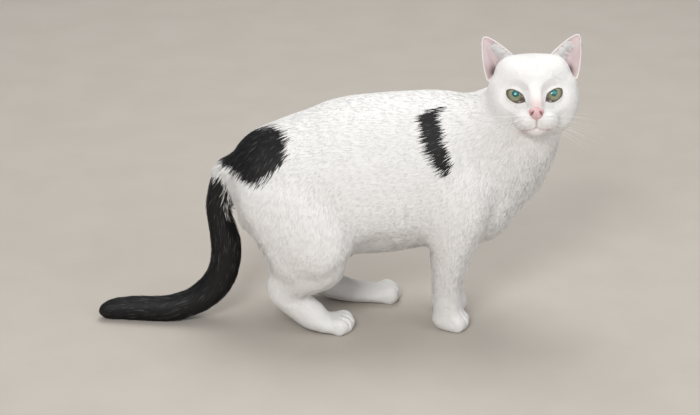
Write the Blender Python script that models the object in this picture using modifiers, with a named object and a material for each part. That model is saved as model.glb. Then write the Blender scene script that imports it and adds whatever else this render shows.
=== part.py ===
"""A domestic short-haired cat, standing, life size, parted into named solids.

Metres, +Z up. The cat faces +X, its right side is towards -Y, and it turns its head to its right and a
little up. The forms are lofted and rounded, fused into one skin, given ears and a face, and then parted
with cuts as thin as the gap between touching solids. The outline is that of the coat.
"""
import math

import bmesh
import bpy
import numpy as np
from mathutils import Matrix, Vector
from mathutils.bvhtree import BVHTree

# Driving dimensions of the whole animal
RUMP_X = -0.1290
WITHERS_X = 0.093
BACK_Z = 0.2590
FOREPAW_RIGHT = (0.1080, -0.0280)
FOREPAW_LEFT = (0.1080, 0.0170)
HINDPAW_RIGHT = (-0.0150, -0.0340)
HINDPAW_LEFT = (0.0360, 0.0390)
SHOULDER_Y = 0.041
HEAD_AT = Vector((0.1870, -0.0250, 0.2666))
HEAD_LOOKS_UP = math.radians(22)
HEAD_YAW = math.radians(-1.5)
HEAD_ROLL = math.radians(-2)

# Head, in its own frame: -Y is the way it faces, +Z its crown, its right side towards -X
EYE_AT = Vector((0.0181, -0.0168, -0.0026))
EYE_RADIUS = 0.0116
EYE_TURN = math.radians(8)
LID = 0.0013
LID_FLAT = 0.0100
LID_REACH = 0.0165
OPENING_HALF = (0.0108, 0.0055)
OPENING_SLANT = math.radians(30)
NOSE_AT = Vector((0.0, -0.0440, -0.0213))
NOSE_SIZE = (0.0074, 0.0060, 0.0066)
EAR_TIP = Vector((0.0488, 0.0060, 0.0588))
EAR_INNER = Vector((0.0190, 0.0020, 0.0395))
EAR_OUTER = Vector((0.0458, 0.0060, 0.0130))
EAR_WALL = 0.0018
EAR_CUP = 0.0140
EAR_EDGE_INNER = 1.1
EAR_EDGE_OUTER = 1.35
EAR_TIP_ROUNDING = 0.72

# Making
VOXEL = 0.0021
GAP = 0.0003
RING = 40
SLEEVE_RING = 14
SMOOTHING = 18
BODY_TRIANGLES = 7000
FACE_SHARE = 0.25
FACE_REACH = 0.062
FACE_DEPTH = 0.013
BELLY_CUT_Z = 0.0760
WRIST_Z = 0.0330
FAR = 0.6

WHITE_FUR = ("fur_white", (0.90, 0.88, 0.85), 0.85)
BLACK_FUR = ("fur_black", (0.02, 0.02, 0.022), 0.75)
PINK_SKIN = ("skin_pink", (0.85, 0.55, 0.53), 0.55)
EYE_GREEN = ("eye_green", (0.45, 0.55, 0.33), 0.08)

for leftover in list(bpy.data.objects):
    bpy.data.objects.remove(leftover)


def collection(name, hidden=False):
    made = bpy.data.collections.new(name)
    bpy.context.scene.collection.children.link(made)
    made.hide_render = hidden
    return made


CAT = collection("domestic_cat")
FORMS = collection("forms", hidden=True)
HEAD_FRAME = (
    Matrix.Translation(HEAD_AT)
    @ Matrix.Rotation(HEAD_YAW, 4, "Z")
    @ Matrix.Rotation(-HEAD_LOOKS_UP, 4, "X")
    @ Matrix.Rotation(HEAD_ROLL, 4, "Y")
)


def material(finish):
    name, colour, roughness = finish
    made = bpy.data.materials.get(name) or bpy.data.materials.new(name)
    made.use_nodes = True
    shader = made.node_tree.nodes["Principled BSDF"]
    shader.inputs["Base Color"].default_value = (*colour, 1)
    shader.inputs["Roughness"].default_value = roughness
    shader.inputs["Metallic"].default_value = 0
    return made


def add(name, mesh, where=FORMS):
    obj = bpy.data.objects.new(name, mesh)
    where.objects.link(obj)
    return obj


def mesh_of(bm, name):
    bm.normal_update()
    bmesh.ops.recalc_face_normals(bm, faces=bm.faces)
    mesh = bpy.data.meshes.new(name)
    bm.to_mesh(mesh)
    bm.free()
    return mesh


def applied(obj):
    """The object with its modifiers worked into its mesh."""
    bpy.context.view_layer.update()
    graph = bpy.context.evaluated_depsgraph_get()
    mesh = bpy.data.meshes.new_from_object(obj.evaluated_get(graph))
    obj.modifiers.clear()
    obj.data = mesh
    return obj


def smooth_path(rows, steps=4):
    """Catmull-Rom points through the rows, which keep every number of a row together."""
    pts = np.array(rows, float)
    pts = np.vstack([2 * pts[0] - pts[1], pts, 2 * pts[-1] - pts[-2]])
    made = []
    for i in range(1, len(pts) - 2):
        a, b, c, d = pts[i - 1 : i + 3]
        for t in np.arange(steps) / steps:
            bend = (2 * a - 5 * b + 4 * c - d) * t**2 + (3 * b - a - 3 * c + d) * t**3
            made.append(0.5 * (2 * b + (c - a) * t + bend))
    made.append(pts[-2])
    return np.array(made)


def loft(name, rows, egg=0.0, ring_points=RING, steps=4):
    """A closed tube of ellipses. A row is x, y, z, half size in the path's upright plane, half width."""
    path = smooth_path(rows, steps)
    bm = bmesh.new()
    rings = []
    for i, row in enumerate(path):
        ahead = Vector(path[min(i + 1, len(path) - 1)][:3]) - Vector(path[max(i - 1, 0)][:3])
        ahead.normalize()
        side = Vector((0, 1, 0))
        side = (side - side.dot(ahead) * ahead).normalized()
        up = ahead.cross(side)
        ring = []
        for k in range(ring_points):
            t = 2 * math.pi * k / ring_points
            across = math.cos(t) * (1 - egg * math.sin(t))
            ring.append(bm.verts.new(Vector(row[:3]) + side * row[4] * across + up * row[3] * math.sin(t)))
        rings.append(ring)
    for low, high in zip(rings, rings[1:]):
        for k in range(ring_points):
            m = (k + 1) % ring_points
            bm.faces.new((low[k], low[m], high[m], high[k]))
    bm.faces.new(rings[0])
    bm.faces.new(rings[-1])
    bmesh.ops.triangulate(bm, faces=bm.faces, quad_method="FIXED")
    return add(name, mesh_of(bm, name))


def ball(name, centre, radii, frame=Matrix.Identity(4), turn=Matrix.Identity(4), fine=4):
    """An ellipsoid, turned about its own centre, placed in a frame."""
    bm = bmesh.new()
    bmesh.ops.create_icosphere(bm, subdivisions=fine, radius=1)
    bm.transform(frame @ Matrix.Translation(centre) @ turn @ Matrix.Diagonal((*radii, 1)))
    return add(name, mesh_of(bm, name))


def mirrored(point, side):
    return Vector((point[0] * side, point[1], point[2]))


# Trunk and neck

def trunk_forms():
    # x, centre height, half height, half width
    stations = (
        (RUMP_X, 0.1640, 0.012, 0.013),
        (-0.1240, 0.1635, 0.026, 0.029),
        (-0.1130, 0.1635, 0.040, 0.043),
        (-0.0950, 0.1640, 0.053, 0.055),
        (-0.0650, 0.1630, 0.067, 0.066),
        (-0.0350, 0.1625, 0.0770, 0.070),
        (-0.0050, 0.1650, 0.0848, 0.072),
        (0.0330, 0.1685, 0.0870, 0.069),
        (0.0650, 0.1725, 0.0857, 0.064),
        (WITHERS_X, 0.1755, BACK_Z - 0.1755, 0.061),
        (0.1150, 0.1670, 0.0840, 0.058),
        (0.1350, 0.1620, 0.0728, 0.053),
        (0.1550, 0.1665, 0.0568, 0.047),
        (0.1740, 0.1710, 0.0388, 0.038),
        (0.1870, 0.1745, 0.0260, 0.029),
        (0.1980, 0.1780, 0.0100, 0.013),
    )
    loft("trunk", [(x, 0, z, up, side) for x, z, up, side in stations], egg=0.10)
    loft(
        "neck",
        (
            (0.1100, 0.0000, 0.1665, 0.070, 0.053),
            (0.1315, -0.0010, 0.1825, 0.0715, 0.053),
            (0.1500, -0.0030, 0.2005, 0.0697, 0.051),
            (0.1658, -0.0080, 0.2192, 0.0585, 0.048),
            (0.1780, -0.0130, 0.2400, 0.0470, 0.044),
            (0.1860, -0.0180, 0.2620, 0.0340, 0.036),
        ),
    )


# Legs

def paw(name, at, toe_out, pad=(0.0115, 0.0146), toe=0.0108):
    """A rounded foot with four toes in front. Its underside reaches past the floor, where it is cut flat."""
    frame = Matrix.Translation((at[0], at[1], 0)) @ Matrix.Rotation(toe_out, 4, "Z")
    ball(f"{name}_pad", (-0.0030, 0, pad[0]), (0.0180, 0.0162, pad[1]), frame)
    for k, (ahead, aside) in enumerate(((0.0055, -0.0120), (0.0100, -0.0044), (0.0100, 0.0044), (0.0055, 0.0120))):
        turn = Matrix.Rotation(aside * 18, 4, "Z")
        ball(f"{name}_toe{k}", (ahead, aside, toe - 0.0018), (0.0108, 0.0064, toe), frame, turn)


def foreleg_forms(name, side, at):
    x, y = at
    lean = y - side * SHOULDER_Y
    loft(
        f"{name}_leg",
        (
            (0.1220, side * 0.037, 0.200, 0.022, 0.014),
            (0.1190, side * 0.040, 0.175, 0.034, 0.023),
            (0.1130, side * 0.042, 0.145, 0.036, 0.026),
            (0.1085, side * 0.041, 0.118, 0.0305, 0.0240),
            (0.1070, side * 0.041 + lean * 0.15, 0.096, 0.0235, 0.0215),
            (0.1050, side * 0.041 + lean * 0.40, 0.074, 0.0195, 0.0190),
            (0.1035, side * 0.041 + lean * 0.70, 0.052, 0.0167, 0.0168),
            (0.1040, side * 0.041 + lean * 0.90, 0.034, 0.0160, 0.0160),
            (x - 0.0035, y, 0.020, 0.0160, 0.0158),
            (x - 0.0020, y, 0.009, 0.0150, 0.0150),
        ),
    )
    ball(f"{name}_elbow", (0.0960, side * 0.042, 0.1050), (0.0130, 0.0140, 0.0180))
    paw(f"{name}_paw", at, toe_out=side * math.radians(6))


HIND_RIGHT = dict(
    knee=(-0.0130, -0.0560, 0.0990),
    hock=(-0.0735, -0.0430, 0.0510),
    foot=(
        (-0.0560, -0.0400, 0.0338, 0.0165, 0.0155),
        (-0.0390, -0.0372, 0.0185, 0.0160, 0.0160),
        (-0.0285, -0.0365, 0.0108, 0.0110, 0.0162),
        (-0.0210, -0.0355, 0.0088, 0.0094, 0.0165),
        (-0.0090, -0.0345, 0.0098, 0.0100, 0.0150),
    ),
    at=HINDPAW_RIGHT,
    toe_out=math.radians(-16),
)
HIND_LEFT = dict(
    knee=(0.0080, 0.0560, 0.0900),
    hock=(-0.0500, 0.0440, 0.0350),
    foot=(
        (-0.0270, 0.0420, 0.0190, 0.0152, 0.0152),
        (-0.0020, 0.0395, 0.0116, 0.0122, 0.0160),
        (0.0160, 0.0385, 0.0094, 0.0100, 0.0162),
        (0.0290, 0.0380, 0.0086, 0.0092, 0.0165),
        (0.0420, 0.0385, 0.0090, 0.0096, 0.0150),
    ),
    at=HINDPAW_LEFT,
    toe_out=math.radians(8),
)


def hind_leg_forms(name, side, knee, hock, foot, at, toe_out):
    hip = Vector((-0.0800, side * 0.036, 0.1620))
    knee, hock = Vector(knee), Vector(hock)
    mid = hip.lerp(knee, 0.42) + Vector((0.0010, side * 0.003, -0.002))
    above = knee + Vector((-0.0150, 0.0, 0.009))
    loft(
        f"{name}_thigh",
        (
            (-0.0880, side * 0.030, 0.184, 0.022, 0.014),
            (*hip, 0.0450, 0.0290),
            (*mid, 0.0520, 0.0335),
            (*above, 0.0425, 0.0300),
            (knee.x, knee.y, knee.z, 0.0280, 0.0225),
            (knee.x + 0.0080, knee.y, knee.z - 0.006, 0.0130, 0.0120),
        ),
    )
    ball(f"{name}_buttock", (-0.1000, side * 0.030, 0.1380), (0.0205, 0.0220, 0.0280))
    calf = hip.lerp(hock, 0.56) + Vector((0.0130, side * 0.010, 0))
    shin = knee.lerp(hock, 0.52) + Vector((-0.010, 0, 0.006))
    ankle = hock + Vector((0.0050, 0, 0.0150))
    loft(
        f"{name}_shank",
        (
            (*calf.lerp(hip, 0.3), 0.0350, 0.0240),
            (*calf, 0.0260, 0.0250),
            (*shin, 0.0290, 0.0225),
            (*ankle, 0.0205, 0.0165),
            (*hock, 0.0160, 0.0145),
            (hock.x + 0.002, hock.y, hock.z - 0.008, 0.0100, 0.0100),
        ),
    )
    front = knee + Vector((0.0, 0, -0.006))
    loft(
        f"{name}_shin",
        (
            (front.x - 0.012, front.y, front.z + 0.008, 0.0240, 0.0220),
            (*front.lerp(hock, 0.25), 0.0240, 0.0215),
            (*front.lerp(hock, 0.60), 0.0205, 0.0185),
            (hock.x + 0.008, hock.y, hock.z + 0.005, 0.0160, 0.0150),
            (hock.x, hock.y, hock.z, 0.0130, 0.0130),
        ),
    )
    loft(
        f"{name}_foot",
        (
            (hock.x - 0.0080, hock.y, hock.z + 0.0050, 0.0100, 0.0100),
            (hock.x - 0.0010, hock.y, hock.z - 0.0005, 0.0160, 0.0145),
            *foot,
        ),
    )
    paw(f"{name}_hindpaw", at, toe_out, pad=(0.0080, 0.0102), toe=0.0108)


# Tail: it drops behind the rump, then lies back along the floor

TAIL_PATH = (
    (-0.1120, 0.0000, 0.1660, 0.0225),
    (-0.1230, 0.0000, 0.1680, 0.0205),
    (-0.1325, 0.0000, 0.1650, 0.0175),
    (-0.1390, 0.0000, 0.1490, 0.0150),
    (-0.1400, -0.0010, 0.1290, 0.0144),
    (-0.1350, -0.0030, 0.1040, 0.0160),
    (-0.1318, -0.0050, 0.0833, 0.0174),
    (-0.1345, -0.0060, 0.0615, 0.0172),
    (-0.1430, -0.0070, 0.0425, 0.0174),
    (-0.1612, -0.0080, 0.0250, 0.0164),
    (-0.1849, -0.0095, 0.0155, 0.0152),
    (-0.2070, -0.0090, 0.0130, 0.0141),
    (-0.2311, -0.0060, 0.0125, 0.0136),
    (-0.2531, -0.0055, 0.0115, 0.0121),
    (-0.2670, -0.0085, 0.0095, 0.0090),
    (-0.2735, -0.0105, 0.0085, 0.0040),
)
TAIL_CUTS = (("tail_middle", 5), ("tail_lower", 9), ("tail_tip", 12))


def tail_form():
    loft("tail", [(x, y, z, r, r) for x, y, z, r in TAIL_PATH])


# Head

def head_forms():
    for name, at, radii, paired in (
        ("cranium", (0, 0.0080, 0.0060), (0.0405, 0.0420, 0.0362), False),
        ("crown", (0.0180, 0.0050, 0.0180), (0.0225, 0.0290, 0.0232), True),
        ("temple", (0.0270, 0.0040, 0.0050), (0.0205, 0.0250, 0.0200), True),
        ("cheek", (0.0255, 0.0010, -0.0085), (0.0228, 0.0270, 0.0250), True),
        ("jowl", (0.0205, 0.0020, -0.0205), (0.0232, 0.0260, 0.0222), True),
        ("face", (0, -0.0120, -0.0050), (0.0350, 0.0235, 0.0300), False),
        ("brow", (0.0165, -0.0140, 0.0110), (0.0160, 0.0125, 0.0135), True),
        ("forehead", (0, -0.0120, 0.0150), (0.0230, 0.0175, 0.0225), False),
        ("under_eye", (0.0170, -0.0190, -0.0160), (0.0150, 0.0120, 0.0120), True),
        ("muzzle", (0, -0.0280, -0.0245), (0.0175, 0.0150, 0.0130), False),
        ("whisker_pad", (0.0106, -0.0338, -0.0283), (0.0134, 0.0124, 0.0108), True),
        ("jaw", (0, -0.0120, -0.0285), (0.0240, 0.0245, 0.0135), False),
        ("chin", (0, -0.0300, -0.0380), (0.0114, 0.0112, 0.0078), False),
    ):
        for side in (-1, 1) if paired else (1,):
            ball(f"{name}_{side}", mirrored(at, side), radii, HEAD_FRAME)
    bridge = loft(
        "bridge",
        (
            (0, -0.0180, 0.0140, 0.0130, 0.0110),
            (0, -0.0270, 0.0040, 0.0105, 0.0092),
            (0, -0.0350, -0.0070, 0.0090, 0.0084),
            (0, -0.0395, -0.0160, 0.0075, 0.0085),
            (0, -0.0400, -0.0230, 0.0065, 0.0070),
        ),
    )
    bridge.data.transform(HEAD_FRAME)


def softness(point):
    """How much a place is evened out: less on the feet and the muzzle, whose forms are small."""
    on_head = HEAD_FRAME.inverted() @ point
    face = min(1, max(0, 1.6 - (on_head - Vector((0, -0.034, -0.020))).length / 0.024))
    foot = min(1, max(0, 1.5 - point.z / 0.022)) if point.x > -0.1 else 0
    return 1 - 0.75 * max(face, foot)


def fused(name):
    """All forms as one closed skin: voxels of one size, evened out."""
    bm = bmesh.new()
    for form in list(FORMS.objects):
        bm.from_mesh(form.data)
        bpy.data.objects.remove(form)
    skin = add(name, mesh_of(bm, name))
    remesh = skin.modifiers.new("voxels", "REMESH")
    remesh.mode = "VOXEL"
    remesh.voxel_size = VOXEL
    applied(skin)
    soft = skin.vertex_groups.new(name="soft")
    for vert in skin.data.vertices:
        soft.add([vert.index], softness(vert.co), "REPLACE")
    even = skin.modifiers.new("even", "SMOOTH")
    even.factor = 0.5
    even.iterations = SMOOTHING
    even.vertex_group = "soft"
    applied(skin)
    skin.vertex_groups.clear()
    return skin


def eye_frame(side):
    """A frame on the eyeball's centre that looks along -Y, slanted with the lids."""
    return (
        HEAD_FRAME
        @ Matrix.Translation(mirrored(EYE_AT, side))
        @ Matrix.Rotation(side * EYE_TURN, 4, "Z")
        @ Matrix.Rotation(-side * OPENING_SLANT, 4, "Y")
    )


def lay_lids(skin):
    """Brings the skin round each eye onto a ball a lid's thickness larger than the eyeball."""
    for side in (-1, 1):
        frame = eye_frame(side)
        back = frame.inverted()
        for vert in skin.data.vertices:
            p = back @ vert.co
            if p.y > 0 or p.length > LID_REACH * 1.4:
                continue
            off_axis = math.hypot(p.x, p.z)
            weight = min(1, max(0, (LID_REACH - off_axis) / (LID_REACH - LID_FLAT)))
            weight = weight * weight * (3 - 2 * weight)
            vert.co = frame @ p.lerp(p.normalized() * (EYE_RADIUS + LID), weight)


def decimated(skin):
    """Fewer triangles: some fewer everywhere, and far fewer where it isn't the face."""
    evenly = skin.modifiers.new("evenly", "DECIMATE")
    evenly.ratio = FACE_SHARE
    evenly.use_collapse_triangulate = True
    applied(skin)
    group = skin.vertex_groups.new(name="body")
    to_head = HEAD_FRAME.inverted()
    for vert in skin.data.vertices:
        p = to_head @ vert.co
        if p.length > FACE_REACH or p.y > -FACE_DEPTH:
            group.add([vert.index], 1, "REPLACE")
    reduce = skin.modifiers.new("reduce", "DECIMATE")
    reduce.ratio = BODY_TRIANGLES / (2 * len(skin.data.vertices))
    reduce.vertex_group = "body"
    reduce.use_collapse_triangulate = True
    applied(skin)
    skin.vertex_groups.clear()
    return skin


def boolean(obj, other, operation):
    cut = obj.modifiers.new(operation.lower(), "BOOLEAN")
    cut.operation = operation
    cut.solver = "MANIFOLD"
    cut.object = other
    applied(obj)
    bpy.data.objects.remove(other)
    return obj


# Ears: a cupped leaf on each side, fused to the head

def ear(side):
    across, along = 8, 7
    middle = EAR_INNER.lerp(EAR_OUTER, 0.5)
    axis = EAR_TIP - middle
    span = (EAR_OUTER - EAR_INNER) / 2
    bm = bmesh.new()
    grid = []
    for j in range(along + 1):
        t = -0.45 + 1.45 * j / along
        inset = 0.88 if t < 0 else 1.0
        row = []
        for i in range(across + 1):
            s = -1 + 2 * i / across
            edge = EAR_EDGE_INNER if s < 0 else EAR_EDGE_OUTER
            width = (1 - max(t, 0) ** edge) ** EAR_TIP_ROUNDING
            cup = EAR_CUP * (1 - 0.55 * max(t, 0)) * (1 - s * s) * (0.25 + 0.75 * width)
            p = middle + axis * t + span * s * width * inset + Vector((0.0, cup, 0.0))
            row.append(bm.verts.new(mirrored(p, side)))
        grid.append(row)
    for low, high in zip(grid, grid[1:]):
        for i in range(across):
            bm.faces.new((low[i], low[i + 1], high[i + 1], high[i]))
    bmesh.ops.remove_doubles(bm, verts=bm.verts, dist=0.0001)
    bm.transform(HEAD_FRAME)
    leaf = add("ear_leaf", mesh_of(bm, "ear_leaf"))
    wall = leaf.modifiers.new("wall", "SOLIDIFY")
    wall.thickness = EAR_WALL
    wall.offset = 0
    rounding = leaf.modifiers.new("rounding", "SUBSURF")
    rounding.levels = rounding.render_levels = 1
    return applied(leaf)


# Nose leather, mouth line and the cuts that hold eyes and nose

def nose(name, grow=0.0):
    """A leather pad, broad above and narrow below; grow makes the recess that holds it."""
    bm = bmesh.new()
    bmesh.ops.create_icosphere(bm, subdivisions=3, radius=1)
    for vert in bm.verts:
        x, y, z = vert.co
        narrow = 1 + 0.34 * z - 0.12 * z * z
        out = Vector((x * narrow * NOSE_SIZE[0], y * NOSE_SIZE[1], z * NOSE_SIZE[2]))
        vert.co = out * (1 + grow / min(NOSE_SIZE))
    tilt = Matrix.Rotation(math.radians(-16), 4, "X")
    bm.transform(HEAD_FRAME @ Matrix.Translation(NOSE_AT) @ tilt)
    return add(name, mesh_of(bm, name))


def nostril_cutter(side):
    at = NOSE_AT + Vector((side * 0.0042, -0.0052, -0.0012))
    turn = Matrix.Rotation(math.radians(side * 32), 4, "Y")
    return ball("nostril", at, (0.0010, 0.0026, 0.0020), HEAD_FRAME, turn, fine=2)


def tube(name, points, radius):
    curve = bpy.data.curves.new(name, "CURVE")
    curve.dimensions = "3D"
    curve.bevel_depth = radius
    curve.bevel_resolution = 1
    curve.use_fill_caps = True
    spline = curve.splines.new("POLY")
    spline.points.add(len(points) - 1)
    for spot, p in zip(spline.points, points):
        spot.co = (*p, 1)
    obj = add(name, curve)
    bpy.context.view_layer.update()
    mesh = bpy.data.meshes.new_from_object(obj.evaluated_get(bpy.context.evaluated_depsgraph_get()))
    bpy.data.objects.remove(obj)
    bm = bmesh.new()
    bm.from_mesh(mesh)
    bmesh.ops.remove_doubles(bm, verts=bm.verts, dist=0.00001)
    return add(name, mesh_of(bm, name))


def mouth_cutters(skin):
    """Thin grooves on the surface: one below the nose, and one along each lip."""
    tree = BVHTree.FromPolygons([v.co for v in skin.data.vertices], [p.vertices for p in skin.data.polygons])
    cleft = ((0, -0.0285), (0, -0.0354))
    lip = ((0, -0.0350), (0.0040, -0.0374), (0.0090, -0.0384), (0.0136, -0.0378), (0.0174, -0.0356))
    for path in (cleft, lip, [(-x, z) for x, z in lip]):
        on_skin = []
        for x, _, z in smooth_path([(x, 0, z) for x, z in path], 3):
            start = HEAD_FRAME @ Vector((x, -0.08, z))
            on_skin.append(tree.ray_cast(start, HEAD_FRAME.to_3x3() @ Vector((0, 1, 0)))[0])
        yield tube("mouth_line", on_skin, 0.0007)


def almond_cutter(side):
    """The opening between the lids, drawn out along the way the eye looks."""
    steps = 28
    bm = bmesh.new()
    ring = []
    for k in range(steps):
        t = 2 * math.pi * k / steps
        taper = 1 - 0.10 * math.cos(2 * t)
        ring.append(bm.verts.new((OPENING_HALF[0] * math.cos(t), 0, OPENING_HALF[1] * math.sin(t) * taper)))
    face = bm.faces.new(ring)
    pushed = bmesh.ops.extrude_face_region(bm, geom=[face])["geom"]
    bmesh.ops.translate(bm, vec=(0, -0.03, 0), verts=[g for g in pushed if isinstance(g, bmesh.types.BMVert)])
    bm.transform(eye_frame(side) @ Matrix.Translation((0, -0.001, 0)))
    return add("opening", mesh_of(bm, "opening"))


def cut_face(head):
    """Sockets, the openings between the lids, the nose's recess and the mouth line."""
    grooves = list(mouth_cutters(head))
    socket = EYE_RADIUS + GAP
    for side in (-1, 1):
        boolean(head, ball("socket", mirrored(EYE_AT, side), (socket,) * 3, HEAD_FRAME, fine=3), "DIFFERENCE")
        boolean(head, almond_cutter(side), "DIFFERENCE")
    boolean(head, nose("nose_recess", grow=GAP), "DIFFERENCE")
    for groove in grooves:
        boolean(head, groove, "DIFFERENCE")
    return largest(head)


# Parting: a zone is a closed form, asked for a little smaller for what it holds, larger for what is left

def block(low, high, frame=Matrix.Identity(4)):
    def zone(grow):
        low_corner = Vector(low) - Vector((grow, grow, grow))
        high_corner = Vector(high) + Vector((grow, grow, grow))
        bm = bmesh.new()
        bmesh.ops.create_cube(bm, size=1)
        size = high_corner - low_corner
        bm.transform(frame @ Matrix.Translation((low_corner + high_corner) / 2) @ Matrix.Diagonal((*size, 1)))
        return add("block", mesh_of(bm, "block"))

    return zone


def beyond(at, normal):
    """All that lies past a plane, along its normal."""
    face = Vector(normal).to_track_quat("Z", "Y").to_matrix().to_4x4()
    return block((-FAR, -FAR, 0), (FAR, FAR, FAR), Matrix.Translation(at) @ face)


def sleeve(rows):
    """A lofted form round a limb."""

    def zone(grow):
        path = [np.array(row, float) for row in rows]
        grown = [row + np.array((0, 0, 0, grow, grow)) for row in path]
        for end, near in ((0, 1), (-1, -2)):
            away = path[end][:3] - path[near][:3]
            grown[end][:3] += away / np.linalg.norm(away) * grow
        return loft("sleeve", grown, ring_points=SLEEVE_RING, steps=1)

    return zone


def largest(obj):
    """Keeps the largest closed surface of an object."""
    bm = bmesh.new()
    bm.from_mesh(obj.data)
    bm.faces.ensure_lookup_table()
    seen = set()
    best, best_volume = [], -1.0
    for seed in bm.faces:
        if seed in seen:
            continue
        stack, island = [seed], []
        seen.add(seed)
        while stack:
            face = stack.pop()
            island.append(face)
            for edge in face.edges:
                for near in edge.link_faces:
                    if near not in seen:
                        seen.add(near)
                        stack.append(near)
        volume = sum(
            f.verts[0].co.dot(f.verts[k].co.cross(f.verts[k + 1].co)) / 6
            for f in island
            for k in range(1, len(f.verts) - 1)
        )
        if volume > best_volume:
            best, best_volume = island, volume
    keep = set(best)
    bmesh.ops.delete(bm, geom=[f for f in bm.faces if f not in keep], context="FACES")
    obj.data = mesh_of(bm, obj.name)
    return obj


def parted(body, zone, name):
    """Takes out of a body what lies in a zone, and leaves the rest in it, with the gap between."""
    inside = add(name, body.data.copy())
    boolean(inside, zone(-GAP / 2), "INTERSECT")
    boolean(body, zone(GAP / 2), "DIFFERENCE")
    largest(body)
    return largest(inside)


def keep(obj, name, finish):
    obj.name = name
    FORMS.objects.unlink(obj)
    CAT.objects.link(obj)
    obj.data.materials.clear()
    obj.data.materials.append(material(finish))


def part_tail(skin):
    rows = [(x, y, z, r + 0.0030, r + 0.0030) for x, y, z, r in TAIL_PATH[2:]]
    end, before = np.array(rows[-1]), np.array(rows[-2])
    rows.append(tuple(end + (end - before)))
    rest = parted(skin, sleeve([(-0.1225, 0.0, 0.1760, 0.0230, 0.0230), *rows]), "tail_root")
    for name, k in reversed(TAIL_CUTS):
        along = Vector(TAIL_PATH[k + 1][:3]) - Vector(TAIL_PATH[k - 1][:3])
        keep(parted(rest, beyond(TAIL_PATH[k][:3], along), name), name, BLACK_FUR)
    keep(rest, "tail_root", BLACK_FUR)


def part_head(skin):
    to_head = Vector((0.53, -0.33, 0.78)).normalized()
    head = parted(skin, beyond(HEAD_AT - to_head * 0.043, to_head), "head")
    span = EAR_OUTER - EAR_INNER
    middle = EAR_INNER.lerp(EAR_OUTER, 0.5)
    for word, side in (("right", -1), ("left", 1)):
        at = HEAD_FRAME @ mirrored(middle + Vector((-0.0006, 0, -0.0006)), side)
        out = HEAD_FRAME.to_3x3() @ mirrored(Vector((-span.z, 0, span.x)).normalized(), side)
        face = out.to_track_quat("Z", "Y").to_matrix().to_4x4()
        reach = block((-0.030, -0.030, 0), (0.030, 0.030, 0.070), Matrix.Translation(at) @ face)
        keep(parted(head, reach, f"ear_{word}"), f"ear_{word}", WHITE_FUR)
    keep(cut_face(head), "head", WHITE_FUR)


def part_legs(skin):
    for word, side, hind, fore in (
        ("right", -1, HIND_RIGHT, FOREPAW_RIGHT),
        ("left", 1, HIND_LEFT, FOREPAW_LEFT),
    ):
        inner, outer = sorted((side * 0.0055 - 0.0055, side * 0.14))
        leg = parted(skin, block((0.070, inner, -0.1), (0.160, outer, BELLY_CUT_Z)), "foreleg")
        wrist = (fore[0], fore[1], WRIST_Z)
        keep(parted(leg, beyond(wrist, (-0.10, 0, -1)), "forepaw"), f"forepaw_{word}", WHITE_FUR)
        keep(leg, f"foreleg_{word}", WHITE_FUR)
        leg = parted(skin, block((-0.115, inner, -0.1), (0.070, outer, BELLY_CUT_Z)), "shank")
        keep(parted(leg, beyond(hind["hock"], (0.10, 0, -1)), "hind_foot"), f"hind_foot_{word}", WHITE_FUR)
        keep(leg, f"shank_{word}", WHITE_FUR)
        knee_x = hind["knee"][0]
        thigh = sleeve(
            (
                (-0.0920, side * 0.064, 0.204, 0.022, 0.024),
                (-0.0840, side * 0.064, 0.182, 0.044, 0.040),
                (-0.0590 + 0.40 * knee_x, side * 0.064, 0.142, 0.058, 0.044),
                (-0.0390 + 0.85 * knee_x, side * 0.058, 0.108, 0.054, 0.048),
                (-0.0330 + knee_x, side * 0.055, 0.080, 0.054, 0.051),
                (-0.0330 + knee_x, side * 0.055, 0.055, 0.054, 0.051),
            )
        )
        keep(parted(skin, thigh, "thigh"), f"thigh_{word}", WHITE_FUR)
        shoulder = sleeve(
            (
                (0.1200, side * 0.058, 0.214, 0.020, 0.022),
                (0.1180, side * 0.058, 0.194, 0.032, 0.034),
                (0.1120, side * 0.057, 0.160, 0.037, 0.038),
                (0.1060, side * 0.054, 0.120, 0.034, 0.040),
                (0.1040, side * 0.051, 0.090, 0.031, 0.038),
                (0.1040, side * 0.050, 0.060, 0.031, 0.037),
            )
        )
        keep(parted(skin, shoulder, "shoulder"), f"shoulder_{word}", WHITE_FUR)


def body_skin():
    """The fused body with its lids laid, its ears joined and its feet cut level with the floor."""
    trunk_forms()
    foreleg_forms("right", -1, FOREPAW_RIGHT)
    foreleg_forms("left", 1, FOREPAW_LEFT)
    hind_leg_forms("right", -1, **HIND_RIGHT)
    hind_leg_forms("left", 1, **HIND_LEFT)
    tail_form()
    head_forms()
    skin = fused("cat_skin")
    lay_lids(skin)
    decimated(skin)
    for side in (-1, 1):
        boolean(skin, ear(side), "UNION")
    boolean(skin, beyond((0, 0, 0), (0, 0, -1))(0), "DIFFERENCE")
    return skin


def part_flesh(skin):
    part_tail(skin)
    part_head(skin)
    toward_neck = Vector((0.75, 0.0, 0.66)).normalized()
    keep(parted(skin, beyond((0.150, 0.0, 0.200), toward_neck), "neck"), "neck", WHITE_FUR)
    part_legs(skin)
    keep(skin, "torso", WHITE_FUR)


def face_pieces():
    for word, side in (("right", -1), ("left", 1)):
        eye = ball("eye", mirrored(EYE_AT, side), (EYE_RADIUS,) * 3, HEAD_FRAME, fine=3)
        keep(eye, f"eye_{word}", EYE_GREEN)
    pad = nose("nose_pad")
    for side in (-1, 1):
        boolean(pad, nostril_cutter(side), "DIFFERENCE")
    keep(pad, "nose", PINK_SKIN)


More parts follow.
